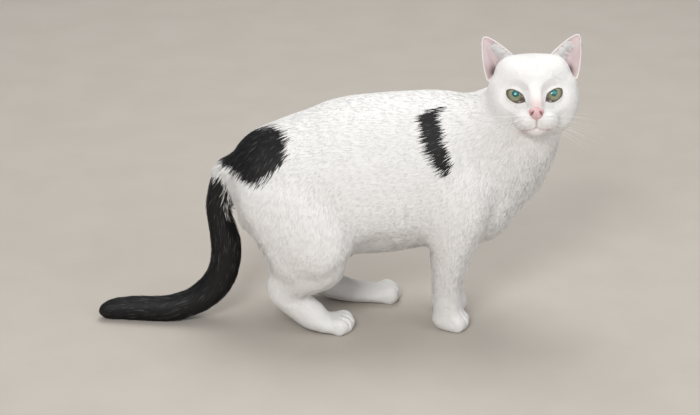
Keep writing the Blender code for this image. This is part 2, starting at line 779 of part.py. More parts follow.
def centre_on_floor():
    """Moves the whole cat so that the middle of its box is the origin, on the floor."""
    points = np.array([v.co for obj in CAT.objects for v in obj.data.vertices])
    low, high = points.min(axis=0), points.max(axis=0)
    shift = Matrix.Translation((-(low[0] + high[0]) / 2, -(low[1] + high[1]) / 2, -low[2]))
    for obj in CAT.objects:
        obj.data.transform(shift)
        obj.data.shade_smooth()
        obj.data.set_sharp_from_angle(angle=math.radians(40))


part_flesh(body_skin())
face_pieces()
centre_on_floor()
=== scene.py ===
"""The looks of a life-size domestic cat: one skin, a short white and black coat, eyes, nose and whiskers.

Places are in metres. Named places on the body are written before the whole cat was centred on the floor,
and SHIFT, read from where the right eye lies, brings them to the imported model.
"""
import math

import bmesh
import bpy
import numpy as np
from mathutils import Matrix, Vector
from mathutils.bvhtree import BVHTree


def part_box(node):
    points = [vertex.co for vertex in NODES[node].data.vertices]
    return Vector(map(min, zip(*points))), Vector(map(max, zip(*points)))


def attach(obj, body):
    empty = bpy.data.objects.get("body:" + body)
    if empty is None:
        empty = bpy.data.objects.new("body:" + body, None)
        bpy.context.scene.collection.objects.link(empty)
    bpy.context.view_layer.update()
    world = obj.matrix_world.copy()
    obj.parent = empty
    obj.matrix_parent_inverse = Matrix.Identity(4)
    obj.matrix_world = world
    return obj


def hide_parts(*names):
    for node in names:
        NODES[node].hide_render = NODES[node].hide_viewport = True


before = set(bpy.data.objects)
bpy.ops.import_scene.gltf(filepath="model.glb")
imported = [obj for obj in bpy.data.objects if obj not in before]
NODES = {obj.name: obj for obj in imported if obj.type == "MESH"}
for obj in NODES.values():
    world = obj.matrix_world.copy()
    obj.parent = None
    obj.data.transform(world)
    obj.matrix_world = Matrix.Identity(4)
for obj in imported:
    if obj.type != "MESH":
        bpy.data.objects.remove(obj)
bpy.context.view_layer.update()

# The head's own frame: -Y is the way it faces, +Z its crown, its right side towards -X
HEAD_AT = Vector((0.1870, -0.0250, 0.2666))
HEAD_LOOKS_UP = math.radians(22)
HEAD_YAW = math.radians(-1.5)
HEAD_ROLL = math.radians(-2)
EYE_AT = Vector((0.0181, -0.0168, -0.0026))
EYE_RADIUS = 0.0116
EYE_TURN = math.radians(8)
EYE_SLANT = math.radians(30)
GAZE_DOWN = math.radians(-11)
GAZE_INWARDS = math.radians(6)
CORNEA_RADIUS = 0.0085
CORNEA_BULGE = 0.045

# The opening between the lids: half its length, its place, and its height over and under its corners
OPENING_LONG = 0.0110
OPENING_INWARDS = 0.0006
OPENING_UP = 0.0049
OPENING_DOWN = 0.0064
# The lids follow the ball as far out as LID_FLAT and are blended into the face up to LID_REACH
LID_FLAT = 0.0120
LID_REACH = 0.0165
LID_OVER_BALL = 0.00035
LID_FOLD = 0.0007
LID_EDGE = 0.0005
BEHIND_OPENING = 0.0022
# How far ahead of the ball's middle the skin lies near the tear duct, and how steeply it rises to the nose
DUCT_FROM = 0.0107
DUCT_RISE = 0.0105

NOSE_AT = Vector((0.0, -0.0440, -0.0213))
NOSE_SIZE = (0.0074, 0.0060, 0.0066)
NOSE_TILT = math.radians(-16)
NOSE_TIP = np.array((0.0, -0.052, -0.019))

EAR_TIP = Vector((0.0488, 0.0060, 0.0588))
EAR_INNER = Vector((0.0190, 0.0020, 0.0395))
EAR_OUTER = Vector((0.0458, 0.0060, 0.0130))
EAR_MIDDLE = EAR_INNER.lerp(EAR_OUTER, 0.5)
EAR_AXIS = EAR_TIP - EAR_MIDDLE
EAR_HALF = (EAR_OUTER - EAR_INNER) / 2
EAR_WALL = 0.0013
EAR_CUP = 0.0140
EAR_EDGES = (1.1, 1.35)
EAR_ROUNDING = 0.72

# The mouth's line and the cleft above it, as places across and up the face
LIP = ((0, -0.0350), (0.0040, -0.0374), (0.0090, -0.0384), (0.0136, -0.0378), (0.0174, -0.0356))
CLEFT = ((0, -0.0270), (0, -0.0354))

# Skin: its grain before it is shaped, and how often it is smoothed
SKIN_VOXEL = 0.0025
SKIN_SMOOTHING = 16
# Coat: how many tufts lie over each other, how many make a piece, and a tuft's breadth in the bake layout
COVER = 5.6
PIECE_TUFTS = 19500
PATCH = 0.003

# Where the viewer stands, and the lens's focal length in dots of a picture 700 wide
CAMERA_AT = (0.0, -1.95606, 0.99461)
CAMERA_DOWN = math.radians(23.9)
LENS = 2016
PICTURE_MIDDLE = (350.0, 207.5)

HEAD = (
    Matrix.Translation(HEAD_AT)
    @ Matrix.Rotation(HEAD_YAW, 4, "Z")
    @ Matrix.Rotation(-HEAD_LOOKS_UP, 4, "X")
    @ Matrix.Rotation(HEAD_ROLL, 4, "Y")
)
eye_low, eye_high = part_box("eye_right")
SHIFT = (eye_low + eye_high) / 2 - HEAD @ Vector((-EYE_AT.x, EYE_AT.y, EYE_AT.z))
HEAD = Matrix.Translation(SHIFT) @ HEAD
NOSE = HEAD @ Matrix.Translation(NOSE_AT)
SHIFT = np.array(SHIFT)
draw = np.random.default_rng(20)


def mirrored(point, side):
    """A point on the head's left side, where side is 1, or its twin on the right side, where it is -1."""
    return Vector((point[0] * side, point[1], point[2]))


def into(place, points):
    """Points of the model, written in a frame of their own."""
    m = np.array(place.inverted())
    return points @ m[:3, :3].T + m[:3, 3]


def out_of(place, points):
    """Points written in a frame of their own, as points of the model."""
    m = np.array(place)
    return points @ m[:3, :3].T + m[:3, 3]


def ease(low, high, value):
    """0 at low and 1 at high, eased between, also where low is the larger."""
    t = np.clip((value - low) / (high - low), 0, 1)
    return t * t * (3 - 2 * t)


def unit(rows):
    return rows / np.maximum(np.linalg.norm(rows, axis=1, keepdims=True), 1e-12)


def ripple(points, size, seed):
    """A smooth random field between about -1 and 1, with hills about this far apart."""
    rng = np.random.default_rng(seed)
    total = np.zeros(len(points))
    for _ in range(7):
        way = rng.normal(size=3)
        way *= 2 * math.pi / (np.linalg.norm(way) * size * rng.uniform(0.6, 1.5))
        total += np.sin(points @ way + rng.uniform(0, 2 * math.pi))
    return total / 4


# Materials

class Wire:
    """A number or colour that runs between a finish's nodes. Sums and products of it add Math nodes."""

    def __init__(self, finish, socket):
        self.finish, self.socket = finish, socket

    def math(self, operation, *values):
        return self.finish.node("ShaderNodeMath", {"operation": operation}, *values)

    def __add__(self, other):
        return self.math("ADD", self, other)

    def __mul__(self, other):
        return self.math("MULTIPLY", self, other)

    __radd__, __rmul__ = __add__, __mul__

    def ramp(self, low, high):
        """0 below low, 1 above high, eased between."""
        return self.finish.node(
            "ShaderNodeMapRange", {"interpolation_type": "SMOOTHSTEP"}, self, low, high, 0.0, 1.0
        )


class Finish:
    """One material: its constants sit on the shader's own sockets, and what varies comes from nodes."""

    def __init__(self, name, **constants):
        self.material = bpy.data.materials.new(name)
        self.material.use_nodes = True
        self.tree = self.material.node_tree
        self.shader = self.tree.nodes["Principled BSDF"]
        for socket, value in constants.items():
            self.shader.inputs[socket.replace("_", " ")].default_value = value

    def node(self, kind, settings, *values, out=0, **named):
        made = self.tree.nodes.new(kind)
        for key, value in settings.items():
            setattr(made, key, value)
        fed = [*zip(made.inputs, values), *((made.inputs[key], value) for key, value in named.items())]
        for socket, value in fed:
            if isinstance(value, Wire):
                self.tree.links.new(value.socket, socket)
            elif value is not None:
                socket.default_value = value
        return Wire(self, made.outputs[out])

    def place(self):
        return self.node("ShaderNodeTexCoord", {}, out="Object")

    def value(self, attribute):
        return self.node("ShaderNodeAttribute", {"attribute_name": attribute}, out="Fac")

    def noise(self, scale, detail=3.0):
        return self.node("ShaderNodeTexNoise", {}, self.place(), Scale=scale, Detail=detail)

    def blend(self, factor, first, second):
        mix = self.node("ShaderNodeMix", {"data_type": "RGBA"}, out=2)
        sockets = mix.socket.node.inputs
        for socket, value in ((sockets[0], factor), (sockets[6], first), (sockets[7], second)):
            if isinstance(value, Wire):
                self.tree.links.new(value.socket, socket)
            else:
                socket.default_value = value if isinstance(value, float) else (*value, 1)
        return mix

    def feeds(self, **sockets):
        for name, wire in sockets.items():
            self.tree.links.new(wire.socket, self.shader.inputs[name.replace("_", " ")])

    def bump(self, height, strength, distance):
        relief = self.node("ShaderNodeBump", {}, Strength=strength, Distance=distance, Height=height)
        self.feeds(Normal=relief)


def white_coat_finish():
    coat = Finish(
        "white_coat", Roughness=0.62, Sheen_Weight=0.20, Sheen_Roughness=0.45, Specular_IOR_Level=0.3
    )
    white = coat.blend(coat.value("tip"), (0.87, 0.85, 0.825), (0.92, 0.91, 0.895))
    white = coat.blend(coat.value("tone") * 0.35, white, (0.96, 0.955, 0.945))
    # Pink on the hair over the nose's bridge is its own tint; near the lips it is partly painted shade along
    # the mouth's line
    coat.feeds(Base_Color=coat.blend(coat.value("pink_and_mouth_shade"), white, (0.86, 0.60, 0.57)))
    return coat.material


def black_coat_finish():
    coat = Finish(
        "black_coat", Roughness=0.52, Sheen_Weight=0.03, Sheen_Roughness=0.4, Specular_IOR_Level=0.35
    )
    dark = coat.blend(coat.value("tip"), (0.004, 0.0036, 0.004), (0.011, 0.010, 0.0105))
    # About a tenth of the black tufts are painted grey: partly light hairs among the black, partly painted
    # sheen of light on the black coat
    grey_hair_and_sheen = coat.value("tone").ramp(0.90, 1.0) * 0.6
    coat.feeds(Base_Color=coat.blend(grey_hair_and_sheen, dark, (0.15, 0.145, 0.15)))
    return coat.material


def skin_finish():
    skin = Finish("skin_under_coat", Roughness=0.6, Sheen_Weight=0.15, Sheen_Roughness=0.5)
    fine, broad = skin.noise(900.0), skin.noise(60.0)
    # The skin's white is painted a little darker than the coat's, as shade in the gaps between tufts
    white = skin.blend(fine.ramp(0.35, 0.65), (0.83, 0.80, 0.77), (0.90, 0.88, 0.86))
    dark = skin.blend(fine.ramp(0.35, 0.65), (0.007, 0.0065, 0.007), (0.018, 0.017, 0.018))
    pink = skin.blend(broad.ramp(0.35, 0.65), (0.72, 0.56, 0.57), (0.79, 0.66, 0.67))
    # Painted shade: dark brown where the skin lies in hollows and creases
    hollow_shade = skin.blend(fine, (0.09, 0.060, 0.055), (0.15, 0.100, 0.092))
    colour = skin.blend(skin.value("black"), white, dark)
    colour = skin.blend(skin.value("pink"), colour, pink)
    skin.feeds(Base_Color=skin.blend(skin.value("hollow_shade"), colour, hollow_shade))
    skin.bump(skin.noise(1500.0, 2.0) + skin.noise(420.0, 2.0) * 0.7, 0.5, 0.0006)
    return skin.material


def nose_finish():
    leather = Finish(
        "nose_leather",
        Roughness=0.42,
        Coat_Weight=0.25,
        Coat_Roughness=0.3,
        Subsurface_Weight=0.15,
        Subsurface_Radius=(0.004, 0.0015, 0.001),
    )
    cells = leather.node(
        "ShaderNodeTexVoronoi", {"feature": "DISTANCE_TO_EDGE"}, leather.place(), Scale=1900.0
    )
    pink = leather.blend(leather.noise(240.0).ramp(0.3, 0.7), (0.74, 0.46, 0.46), (0.82, 0.58, 0.58))
    # Darker pink towards the leather's sides and in its groove, where the darkening is painted shade
    pink = leather.blend(leather.value("edge"), pink, (0.66, 0.33, 0.34))
    # Painted shade: dark red in the nostrils' hollows
    leather.feeds(Base_Color=leather.blend(leather.value("hollow_shade"), pink, (0.22, 0.08, 0.08)))
    leather.bump(cells.ramp(0.0, 0.18), 0.45, 0.0003)
    return leather.material


def eye_finish():
    """A green iris round a pupil painted as blue-green eyeshine, the light sent back from inside the eye,
    brighter in its middle. off_axis is in millimetres from the eye's axis.
    """
    eye = Finish("eye", Roughness=0.15, Coat_Weight=0.55, Coat_Roughness=0.03, IOR=1.38)
    off, turn = eye.value("off_axis"), eye.value("turn")
    fibres = eye.node("ShaderNodeCombineXYZ", {}, turn * 30.0, off * 0.9, 0.0)
    fibres = eye.node("ShaderNodeTexNoise", {}, fibres, Scale=1.3, Detail=4.0)
    # The iris's greens are its own colour, painted darker overall as shade from the lids over it; the darker
    # outer ring is its own
    iris = eye.blend(fibres.ramp(0.3, 0.7), (0.19, 0.20, 0.12), (0.37, 0.385, 0.25))
    iris = eye.blend(off.ramp(5.0, 3.4) * 0.6, iris, (0.12, 0.25, 0.16))
    iris = eye.blend(off.ramp(6.0, 8.6), iris, (0.13, 0.12, 0.07))
    iris = eye.blend(off.ramp(9.0, 10.0), iris, (0.06, 0.045, 0.04))
    # Painted reflection: the pupil is coloured as eyeshine, light teal in its middle and dark teal at its
    # edge
    painted_eyeshine = eye.blend(off.ramp(0.3, 3.0), (0.07, 0.33, 0.37), (0.008, 0.085, 0.075))
    eye.feeds(Base_Color=eye.blend(off.ramp(3.9, 3.0), iris, painted_eyeshine))
    return eye.material


def plain_finish(name, colour, **constants):
    finish = Finish(name, **constants)
    darker = tuple(part * 0.8 for part in colour)
    finish.feeds(Base_Color=finish.blend(finish.noise(700.0).ramp(0.3, 0.7), colour, darker))
    return finish.material


def floor_finish():
    floor = Finish("pale_floor", Roughness=0.7)
    grain = floor.noise(14.0)
    floor.feeds(Base_Color=floor.blend(grain.ramp(0.3, 0.7), (0.50, 0.46, 0.41), (0.52, 0.48, 0.43)))
    return floor.material


# Meshes

def mesh_of(bm, name):
    bm.normal_update()
    mesh = bpy.data.meshes.new(name)
    bm.to_mesh(mesh)
    bm.free()
    return mesh


def shown(name, mesh, material=None):
    obj = bpy.data.objects.new(name, mesh)
    bpy.context.scene.collection.objects.link(obj)
    if material:
        mesh.materials.clear()
        mesh.materials.append(material)
    return obj


def applied(obj):
    """The object with its modifiers made part of its mesh."""
    bpy.context.view_layer.update()
    mesh = bpy.data.meshes.new_from_object(obj.evaluated_get(bpy.context.evaluated_depsgraph_get()))
    obj.modifiers.clear()
    obj.data = mesh
    return obj


def rows_of(items, key, across, kind=np.float32):
    """One row of numbers for each item of a mesh."""
    flat = np.empty(len(items) * across, kind)
    items.foreach_get(key, flat)
    return flat.reshape(-1, across)


def places(mesh):
    return rows_of(mesh.vertices, "co", 3).astype(float)


def normals(mesh):
    return rows_of(mesh.vertices, "normal", 3).astype(float)


def tree_over(obj):
    """The object's faces, in the form that finds the nearest place or the first hit on them."""
    return BVHTree.FromObject(obj, bpy.context.evaluated_depsgraph_get())


def put(mesh, points):
    """Moves the mesh's vertices to these points."""
    mesh.vertices.foreach_set("co", points.astype(np.float32).ravel())
    mesh.update()


def note(mesh, name, values):
    """Keeps one number for each vertex, for the material to read."""
    layer = mesh.attributes.get(name) or mesh.attributes.new(name, "FLOAT", "POINT")
    layer.data.foreach_set("value", np.asarray(values, np.float32))


# Where things lie on the head

def eye_frame(side):
    """An eye's own frame, turned and slanted as its lids are: -Y looks out, X runs between the corners."""
    return (
        HEAD
        @ Matrix.Translation(mirrored(EYE_AT, side))
        @ Matrix.Rotation(side * EYE_TURN, 4, "Z")
        @ Matrix.Rotation(-side * EYE_SLANT, 4, "Y")
    )


def half_opening(across, above):
    """Half the height of the opening, where across runs from -1 at the outer corner to 1 at the tear duct."""
    tall = np.where(above, OPENING_UP, OPENING_DOWN)
    outer = np.clip(1 - np.abs(across) ** 2.4, 0, 1) ** 0.62
    inner = np.clip(1 - np.abs(across) ** 1.9, 0, 1) ** 0.82
    return tall * np.where(across > 0, inner, outer)


def past_lids(points, side):
    """Where each point lies by the opening between the lids.

    Gives it in the eye's own frame, how far across from -1 at the outer corner to 1 at the tear duct, half
    the opening's height there, how far past the opening it lies, and whether it is near the eye at all.
    """
    at = into(eye_frame(side), points)
    across = (-side * at[:, 0] - OPENING_INWARDS) / OPENING_LONG
    half = half_opening(np.clip(across, -1, 1), at[:, 2] > 0)
    beyond = np.maximum(np.abs(across) - 1, 0) * OPENING_LONG
    past = np.where(beyond > 0, np.hypot(at[:, 2], beyond), np.abs(at[:, 2]) - half)
    near = (at[:, 1] < 0.002) & (np.linalg.norm(at, axis=1) < LID_REACH * 1.35)
    return at, across, half, past, near


def ear_width(s, t):
    """Half the ear's breadth, as part of that at its root. The edge towards the crown is straighter."""
    edge = np.where(np.asarray(s) < 0, *EAR_EDGES)
    return np.clip(1 - np.clip(t, 0, 1) ** edge, 0, 1) ** EAR_ROUNDING


def ear_depth(s, t, width):
    """How deep the ear's cup is at a place across and along it."""
    return EAR_CUP * (1 - 0.55 * max(t, 0)) * (1 - s * s) * (0.25 + 0.75 * width)


def ear_flat(points):
    """Across and along each ear's cup, for points in the head's frame.

    Across runs from -1 at the edge near the crown to 1 at the other, along from 0 at the root to the tip's 1.
    """
    solve = np.linalg.inv(np.array(((EAR_HALF.x, EAR_AXIS.x), (EAR_HALF.z, EAR_AXIS.z))))
    flat = np.stack([np.abs(points[:, 0]) - EAR_MIDDLE.x, points[:, 2] - EAR_MIDDLE.z], 1) @ solve.T
    t = flat[:, 1]
    return flat[:, 0] / np.maximum(ear_width(flat[:, 0], t), 0.06), t


def line_gap(flat, rows):
    """The distance from flat points to a line through the rows, and how far along it the nearest place is."""
    rows = np.array(rows)
    gap, along = np.full(len(flat), 9.0), np.zeros(len(flat))
    for k, (a, b) in enumerate(zip(rows, rows[1:])):
        t = np.clip(((flat - a) @ (b - a)) / ((b - a) @ (b - a)), 0, 1)
        here = np.linalg.norm(flat - a - t[:, None] * (b - a), axis=1)
        closer = here < gap
        gap[closer], along[closer] = here[closer], (k + t[closer]) / (len(rows) - 1)
    return gap, along


def lip_gap(on_head):
    """The distance from the mouth's line and cleft, for points in the head's frame."""
    flat = on_head[:, [0, 2]].copy()
    flat[:, 0] = np.abs(flat[:, 0])
    gap = np.minimum(line_gap(flat, LIP)[0], line_gap(flat, CLEFT)[0])
    return np.where(on_head[:, 1] < -0.018, gap, 1.0)


# The lie of the coat: along each path hair of one kind grows, and near several paths it is blended

FEET = ((0.1080, -0.0280), (0.1080, 0.0170), (-0.0150, -0.0340), (0.0360, 0.0390))
FEET_TURN = tuple(math.radians(turn) for turn in (-6, 6, -16, 8))
FOOT_HEIGHT = 0.010
TAIL = (
    (-0.1325, 0.0000, 0.1650),
    (-0.1390, 0.0000, 0.1490),
    (-0.1400, -0.0010, 0.1290),
    (-0.1350, -0.0030, 0.1040),
    (-0.1318, -0.0050, 0.0833),
    (-0.1345, -0.0060, 0.0615),
    (-0.1430, -0.0070, 0.0425),
    (-0.1612, -0.0080, 0.0250),
    (-0.1849, -0.0095, 0.0155),
    (-0.2070, -0.0090, 0.0130),
    (-0.2311, -0.0060, 0.0125),
    (-0.2531, -0.0055, 0.0115),
    (-0.2735, -0.0105, 0.0085),
)


def both(kind, *rows):
    """The same path on the right side and on the left."""
    return [(kind, [(x, side * y, z) for x, y, z in rows]) for side in (-1, 1)]


def foreleg_paths():
    for side, (x, y) in zip((-1, 1), FEET):
        top = side * 0.041
        yield "foreleg", [
            (0.104, top, 0.105), (0.1035, (top + y) / 2, 0.070), (0.1035, y, 0.045), (0.104, y, 0.022),
        ]
        yield "paw", [
            (x - 0.006, y, 0.020), (x + 0.004, y, 0.017), (x + 0.014, y, 0.012), (x + 0.019, y, 0.005),
        ]


# For each kind of hair: the path's reach, the hair's length, its tips' height over the skin, a tuft's width
HAIR = {
    "back": (0.030, 0.0150, 0.0008, 0.00080),
    "flank": (0.034, 0.0145, 0.0008, 0.00080),
    "belly": (0.026, 0.0165, 0.0017, 0.00080),
    "fringe": (0.014, 0.0165, 0.0052, 0.00085),
    "chest": (0.030, 0.0155, 0.0013, 0.00080),
    "neck": (0.028, 0.0140, 0.0011, 0.00078),
    "shoulder": (0.026, 0.0130, 0.0008, 0.00078),
    "thigh": (0.028, 0.0140, 0.0009, 0.00080),
    "rump": (0.017, 0.0165, 0.0042, 0.00080),
    "shank": (0.018, 0.0095, 0.0007, 0.00072),
    "foreleg": (0.019, 0.0082, 0.0006, 0.00068),
    "paw": (0.015, 0.0050, 0.0004, 0.00060),
    "tail": (0.021, 0.0165, 0.0020, 0.00085),
    "tail_end": (0.017, 0.0085, 0.0013, 0.00075),
}
PATHS = [
    ("back", [
        (0.150, 0, 0.262), (0.093, 0, 0.259), (0.033, 0, 0.255), (-0.035, 0, 0.240), (-0.065, 0, 0.230),
    ]),
    ("back", [
        (-0.065, 0, 0.230), (-0.095, 0, 0.217), (-0.113, 0, 0.203), (-0.124, 0, 0.190), (-0.131, 0, 0.172),
    ]),
    *both(
        "flank",
        (0.110, 0.050, 0.222), (0.050, 0.060, 0.212), (-0.020, 0.062, 0.198), (-0.075, 0.055, 0.180),
        (-0.112, 0.036, 0.160),
    ),
    *both(
        "flank",
        (0.075, 0.062, 0.165), (0.030, 0.068, 0.148), (-0.010, 0.070, 0.132), (-0.030, 0.064, 0.112),
    ),
    *both(
        "belly",
        (0.090, 0.030, 0.105), (0.045, 0.040, 0.095), (0.000, 0.040, 0.088), (-0.040, 0.030, 0.084),
    ),
    ("belly", [
        (0.125, 0, 0.086), (0.060, 0, 0.080), (0.010, 0, 0.076), (-0.060, 0, 0.088), (-0.100, 0, 0.112),
    ]),
    ("chest", [
        (0.200, -0.030, 0.222), (0.198, -0.012, 0.192), (0.190, -0.002, 0.165), (0.172, 0, 0.130),
        (0.145, 0, 0.098), (0.128, 0, 0.086),
    ]),
    *both(
        "chest",
        (0.182, 0.030, 0.190), (0.165, 0.036, 0.150), (0.145, 0.036, 0.115), (0.128, 0.034, 0.092),
    ),
    ("neck", [(0.168, 0.018, 0.285), (0.152, 0.010, 0.268), (0.132, 0.003, 0.263)]),
    ("neck", [(0.160, -0.056, 0.240), (0.146, -0.055, 0.222), (0.128, -0.056, 0.205)]),
    ("neck", [(0.196, 0.024, 0.262), (0.180, 0.034, 0.236), (0.150, 0.050, 0.208)]),
    *both(
        "shoulder",
        (0.128, 0.052, 0.202), (0.120, 0.062, 0.172), (0.110, 0.066, 0.140), (0.105, 0.062, 0.108),
    ),
    *both(
        "thigh",
        (-0.088, 0.046, 0.196), (-0.078, 0.074, 0.162), (-0.070, 0.084, 0.126), (-0.066, 0.074, 0.094),
        (-0.062, 0.056, 0.074),
    ),
    *both(
        "thigh",
        (-0.030, 0.072, 0.170), (-0.018, 0.082, 0.136), (-0.020, 0.084, 0.108), (-0.034, 0.074, 0.086),
    ),
    *foreleg_paths(),
    ("shank", [(-0.030, -0.062, 0.090), (-0.052, -0.050, 0.068), (-0.072, -0.043, 0.050)]),
    ("paw", [
        (-0.073, -0.043, 0.052), (-0.056, -0.040, 0.036), (-0.038, -0.037, 0.021), (-0.015, -0.034, 0.015),
    ]),
    ("paw", [(-0.015, -0.034, 0.015), (-0.004, -0.037, 0.012), (0.003, -0.038, 0.006)]),
    ("shank", [(-0.012, 0.066, 0.085), (-0.032, 0.055, 0.056), (-0.049, 0.046, 0.034)]),
    ("paw", [
        (-0.050, 0.044, 0.036), (-0.027, 0.042, 0.024), (0.010, 0.040, 0.019), (0.036, 0.039, 0.016),
    ]),
    ("paw", [(0.036, 0.039, 0.016), (0.047, 0.041, 0.012), (0.054, 0.042, 0.006)]),
    ("tail", TAIL[:-2]),
    ("tail_end", TAIL[-3:]),
    ("rump", [
        (-0.105, -0.010, 0.205), (-0.121, -0.012, 0.190), (-0.133, -0.012, 0.172), (-0.143, -0.008, 0.154),
    ]),
    *both("rump", (-0.112, 0.012, 0.160), (-0.114, 0.014, 0.142), (-0.110, 0.018, 0.122)),
    *both("fringe", (0.027, 0.062, 0.106), (0.016, 0.060, 0.092), (0.007, 0.054, 0.078)),
    *both("fringe", (-0.112, 0.034, 0.150), (-0.107, 0.042, 0.122), (-0.092, 0.046, 0.098)),
]


# The head's hair at the nose, and what it has more at the back: length, rise and tuft width
FACE_HAIR = (0.0022, 0.0003, 0.00036)
FACE_HAIR_MORE = (0.0085, 0.0006, 0.00038)
FACE_HAIR_WEIGHT = 6
SKULL_MIDDLE = (0, -0.002, -0.002)
SKULL_REACH = 0.049
# The ears' hair, and what it has less at the rim
EAR_HAIR = (0.0038, 0.0004, 0.00050)
EAR_HAIR_LESS = (0.0018, 0.0002, 0)
EAR_HAIR_WEIGHT = 30


def body_hair(local):
    """For each path its weight at each point, the way its hair lies there, and its length, rise and width."""
    squares = (local**2).sum(1)
    for name, rows in PATHS:
        reach, length, rise, width = HAIR[name]
        rows = np.array(rows, float)
        steps = np.linspace(0, len(rows) - 1, 5 * (len(rows) - 1) + 1)
        dense = np.stack([np.interp(steps, range(len(rows)), rows[:, k]) for k in range(3)], 1)
        along = unit(np.gradient(dense, axis=0))
        gaps = squares[:, None] - 2 * local @ dense.T + (dense**2).sum(1)
        nearest = gaps.argmin(1)
        weight = np.exp(-np.maximum(gaps[np.arange(len(local)), nearest], 0) / reach**2)
        yield weight, along[nearest], (length, rise, width)


def face_hair(points, on_head, across, along):
    """The same for the head, where hair runs back from the nose and parts round the eyes.

    It is shorter near the eyes, the lips and the ears.
    """
    turn = np.array(HEAD)[:3, :3].T
    from_nose = on_head - NOSE_TIP
    from_nose[:, 2] += 0.25 * np.abs(from_nose[:, 0]) * ease(-0.045, -0.02, on_head[:, 2])
    away = np.linalg.norm(from_nose, axis=1)
    back = ease(0.012, 0.066, away)
    flow = unit(from_nose)
    past = np.full(len(points), 1.0)
    for side in (-1, 1):
        in_eye, _, _, gap, near = past_lids(points, side)
        gap = np.where(near, gap, 1.0)
        past = np.minimum(past, gap)
        out = unit(in_eye * (1, 0, 1.4)) @ np.array(eye_frame(side))[:3, :3].T @ turn.T
        towards = np.minimum((flow * out).sum(1), 0)
        flow = unit(flow - 1.1 * out * (towards * ease(0.0085, 0.0015, gap))[:, None])
    short = 0.45 + 0.55 * ease(0.0005, 0.0080, past)
    short *= 1 - 0.55 * ease(-0.7, -0.1, along) * ease(1.9, 1.3, np.abs(across))
    lip = ease(0.0008, 0.0050, lip_gap(on_head))
    from_middle = np.linalg.norm(on_head - SKULL_MIDDLE, axis=1)
    weight = FACE_HAIR_WEIGHT * np.exp(-((from_middle / SKULL_REACH) ** 8))
    length, rise, width = (at_nose + more * back for at_nose, more in zip(FACE_HAIR, FACE_HAIR_MORE))
    kind = np.stack([length * short * (0.5 + 0.5 * lip), rise * short * lip, width], 1)
    return weight, flow @ turn, kind


def ear_hair(on_head, across, along):
    """The same for the ears: short hair that runs up to the tip and spreads to both edges."""
    turn = np.array(HEAD)[:3, :3].T
    weight = EAR_HAIR_WEIGHT * ease(0.06, 0.22, along) * ease(1.5, 1.1, np.abs(across))
    weight *= (on_head[:, 1] > -0.015) & (on_head[:, 1] < 0.03)
    tipward = np.array(EAR_AXIS.normalized())
    outward = np.array(EAR_HALF.normalized())
    flow = tipward + outward * (0.25 * np.clip(across, -1, 1) * ease(1.1, 0.7, np.abs(across)))[:, None]
    flow[:, 0] *= np.sign(on_head[:, 0])
    rim = ease(0.65, 1.0, np.maximum(np.abs(across), along))
    kind = np.stack([whole - less * rim for whole, less in zip(EAR_HAIR, EAR_HAIR_LESS)], 1)
    return weight, unit(flow) @ turn, kind


def hair_near(points):
    """All the kinds of hair in turn: weight, way and measures at each point."""
    yield from body_hair(points - SHIFT)
    on_head = into(HEAD, points)
    across, along = ear_flat(on_head)
    yield face_hair(points, on_head, across, along)
    yield ear_hair(on_head, across, along)


def coat_at(points):
    """Which way hair lies at each point, and its length, rise and tuft width."""
    lie = np.zeros_like(points)
    kind = np.zeros((len(points), 3))
    total = np.full(len(points), 1e-9)
    for weight, way, here in hair_near(points):
        lie += way * weight[:, None]
        kind += weight[:, None] * here
        total += weight
    kind /= total[:, None]
    return unit(lie), kind[:, 0], kind[:, 1], kind[:, 2]


# Markings

# Outlines as the viewer sees them, across and down from the top left corner of a picture 700 wide
RUMP_PATCH = (
    (217, 159), (224, 151), (235, 142), (247, 132), (256, 124.5), (264, 125.5), (275, 126.5), (281, 130),
    (286, 137), (287.5, 146), (287, 157), (283, 165), (276, 171), (268, 178), (258, 185), (251, 185.5),
    (243, 180), (235, 174), (228, 168.5), (222, 163.5),
)
SHOULDER_STRIPE = (
    (418.5, 121), (419.5, 116), (424, 111.5), (431, 109), (439, 107.5), (444, 108.5), (441, 113), (440, 120),
    (440, 128), (442, 134.5), (445.5, 140), (445.5, 146), (448, 152.5), (451, 159), (451, 166.5),
    (447, 172.5), (442, 175), (438, 171), (432, 162.5), (427, 154), (423.5, 145), (421, 136), (419.5, 127),
)
TAIL_PATCH = (
    (200, 177), (212, 177), (222, 180), (229, 188), (232, 200), (233, 216), (239, 229), (247, 244),
    (252, 262), (254, 300), (240, 350), (60, 350), (60, 270), (190, 270),
)
# How far the patches' edges wander, in the same measure, and how much white runs into the tail's root
EDGE_WANDER = 1.5
TAIL_STREAKS = 0.6


def in_picture(points):
    """Where the viewer sees each point, counted across and down."""
    away = points - (SHIFT + CAMERA_AT)
    depth = away @ (0, math.cos(CAMERA_DOWN), -math.sin(CAMERA_DOWN))
    down = -away @ (0, math.sin(CAMERA_DOWN), math.cos(CAMERA_DOWN))
    return np.stack([away[:, 0], down], 1) / depth[:, None] * LENS + PICTURE_MIDDLE


def depth_inside(flat, outline):
    """How far a flat point lies inside an outline, negative outside."""
    inside = np.zeros(len(flat), bool)
    gap = np.full(len(flat), 9.0)
    corners = np.array(outline)
    for a, b in zip(corners, np.roll(corners, -1, axis=0)):
        t = np.clip(((flat - a) @ (b - a)) / ((b - a) @ (b - a)), 0, 1)
        gap = np.minimum(gap, np.linalg.norm(flat - a - t[:, None] * (b - a), axis=1))
        crosses = (a[1] > flat[:, 1]) != (b[1] > flat[:, 1])
        slope = (b[0] - a[0]) / (b[1] - a[1]) if b[1] != a[1] else 0
        inside ^= crosses & (flat[:, 0] < a[0] + slope * (flat[:, 1] - a[1]))
    return np.where(inside, gap, -gap)


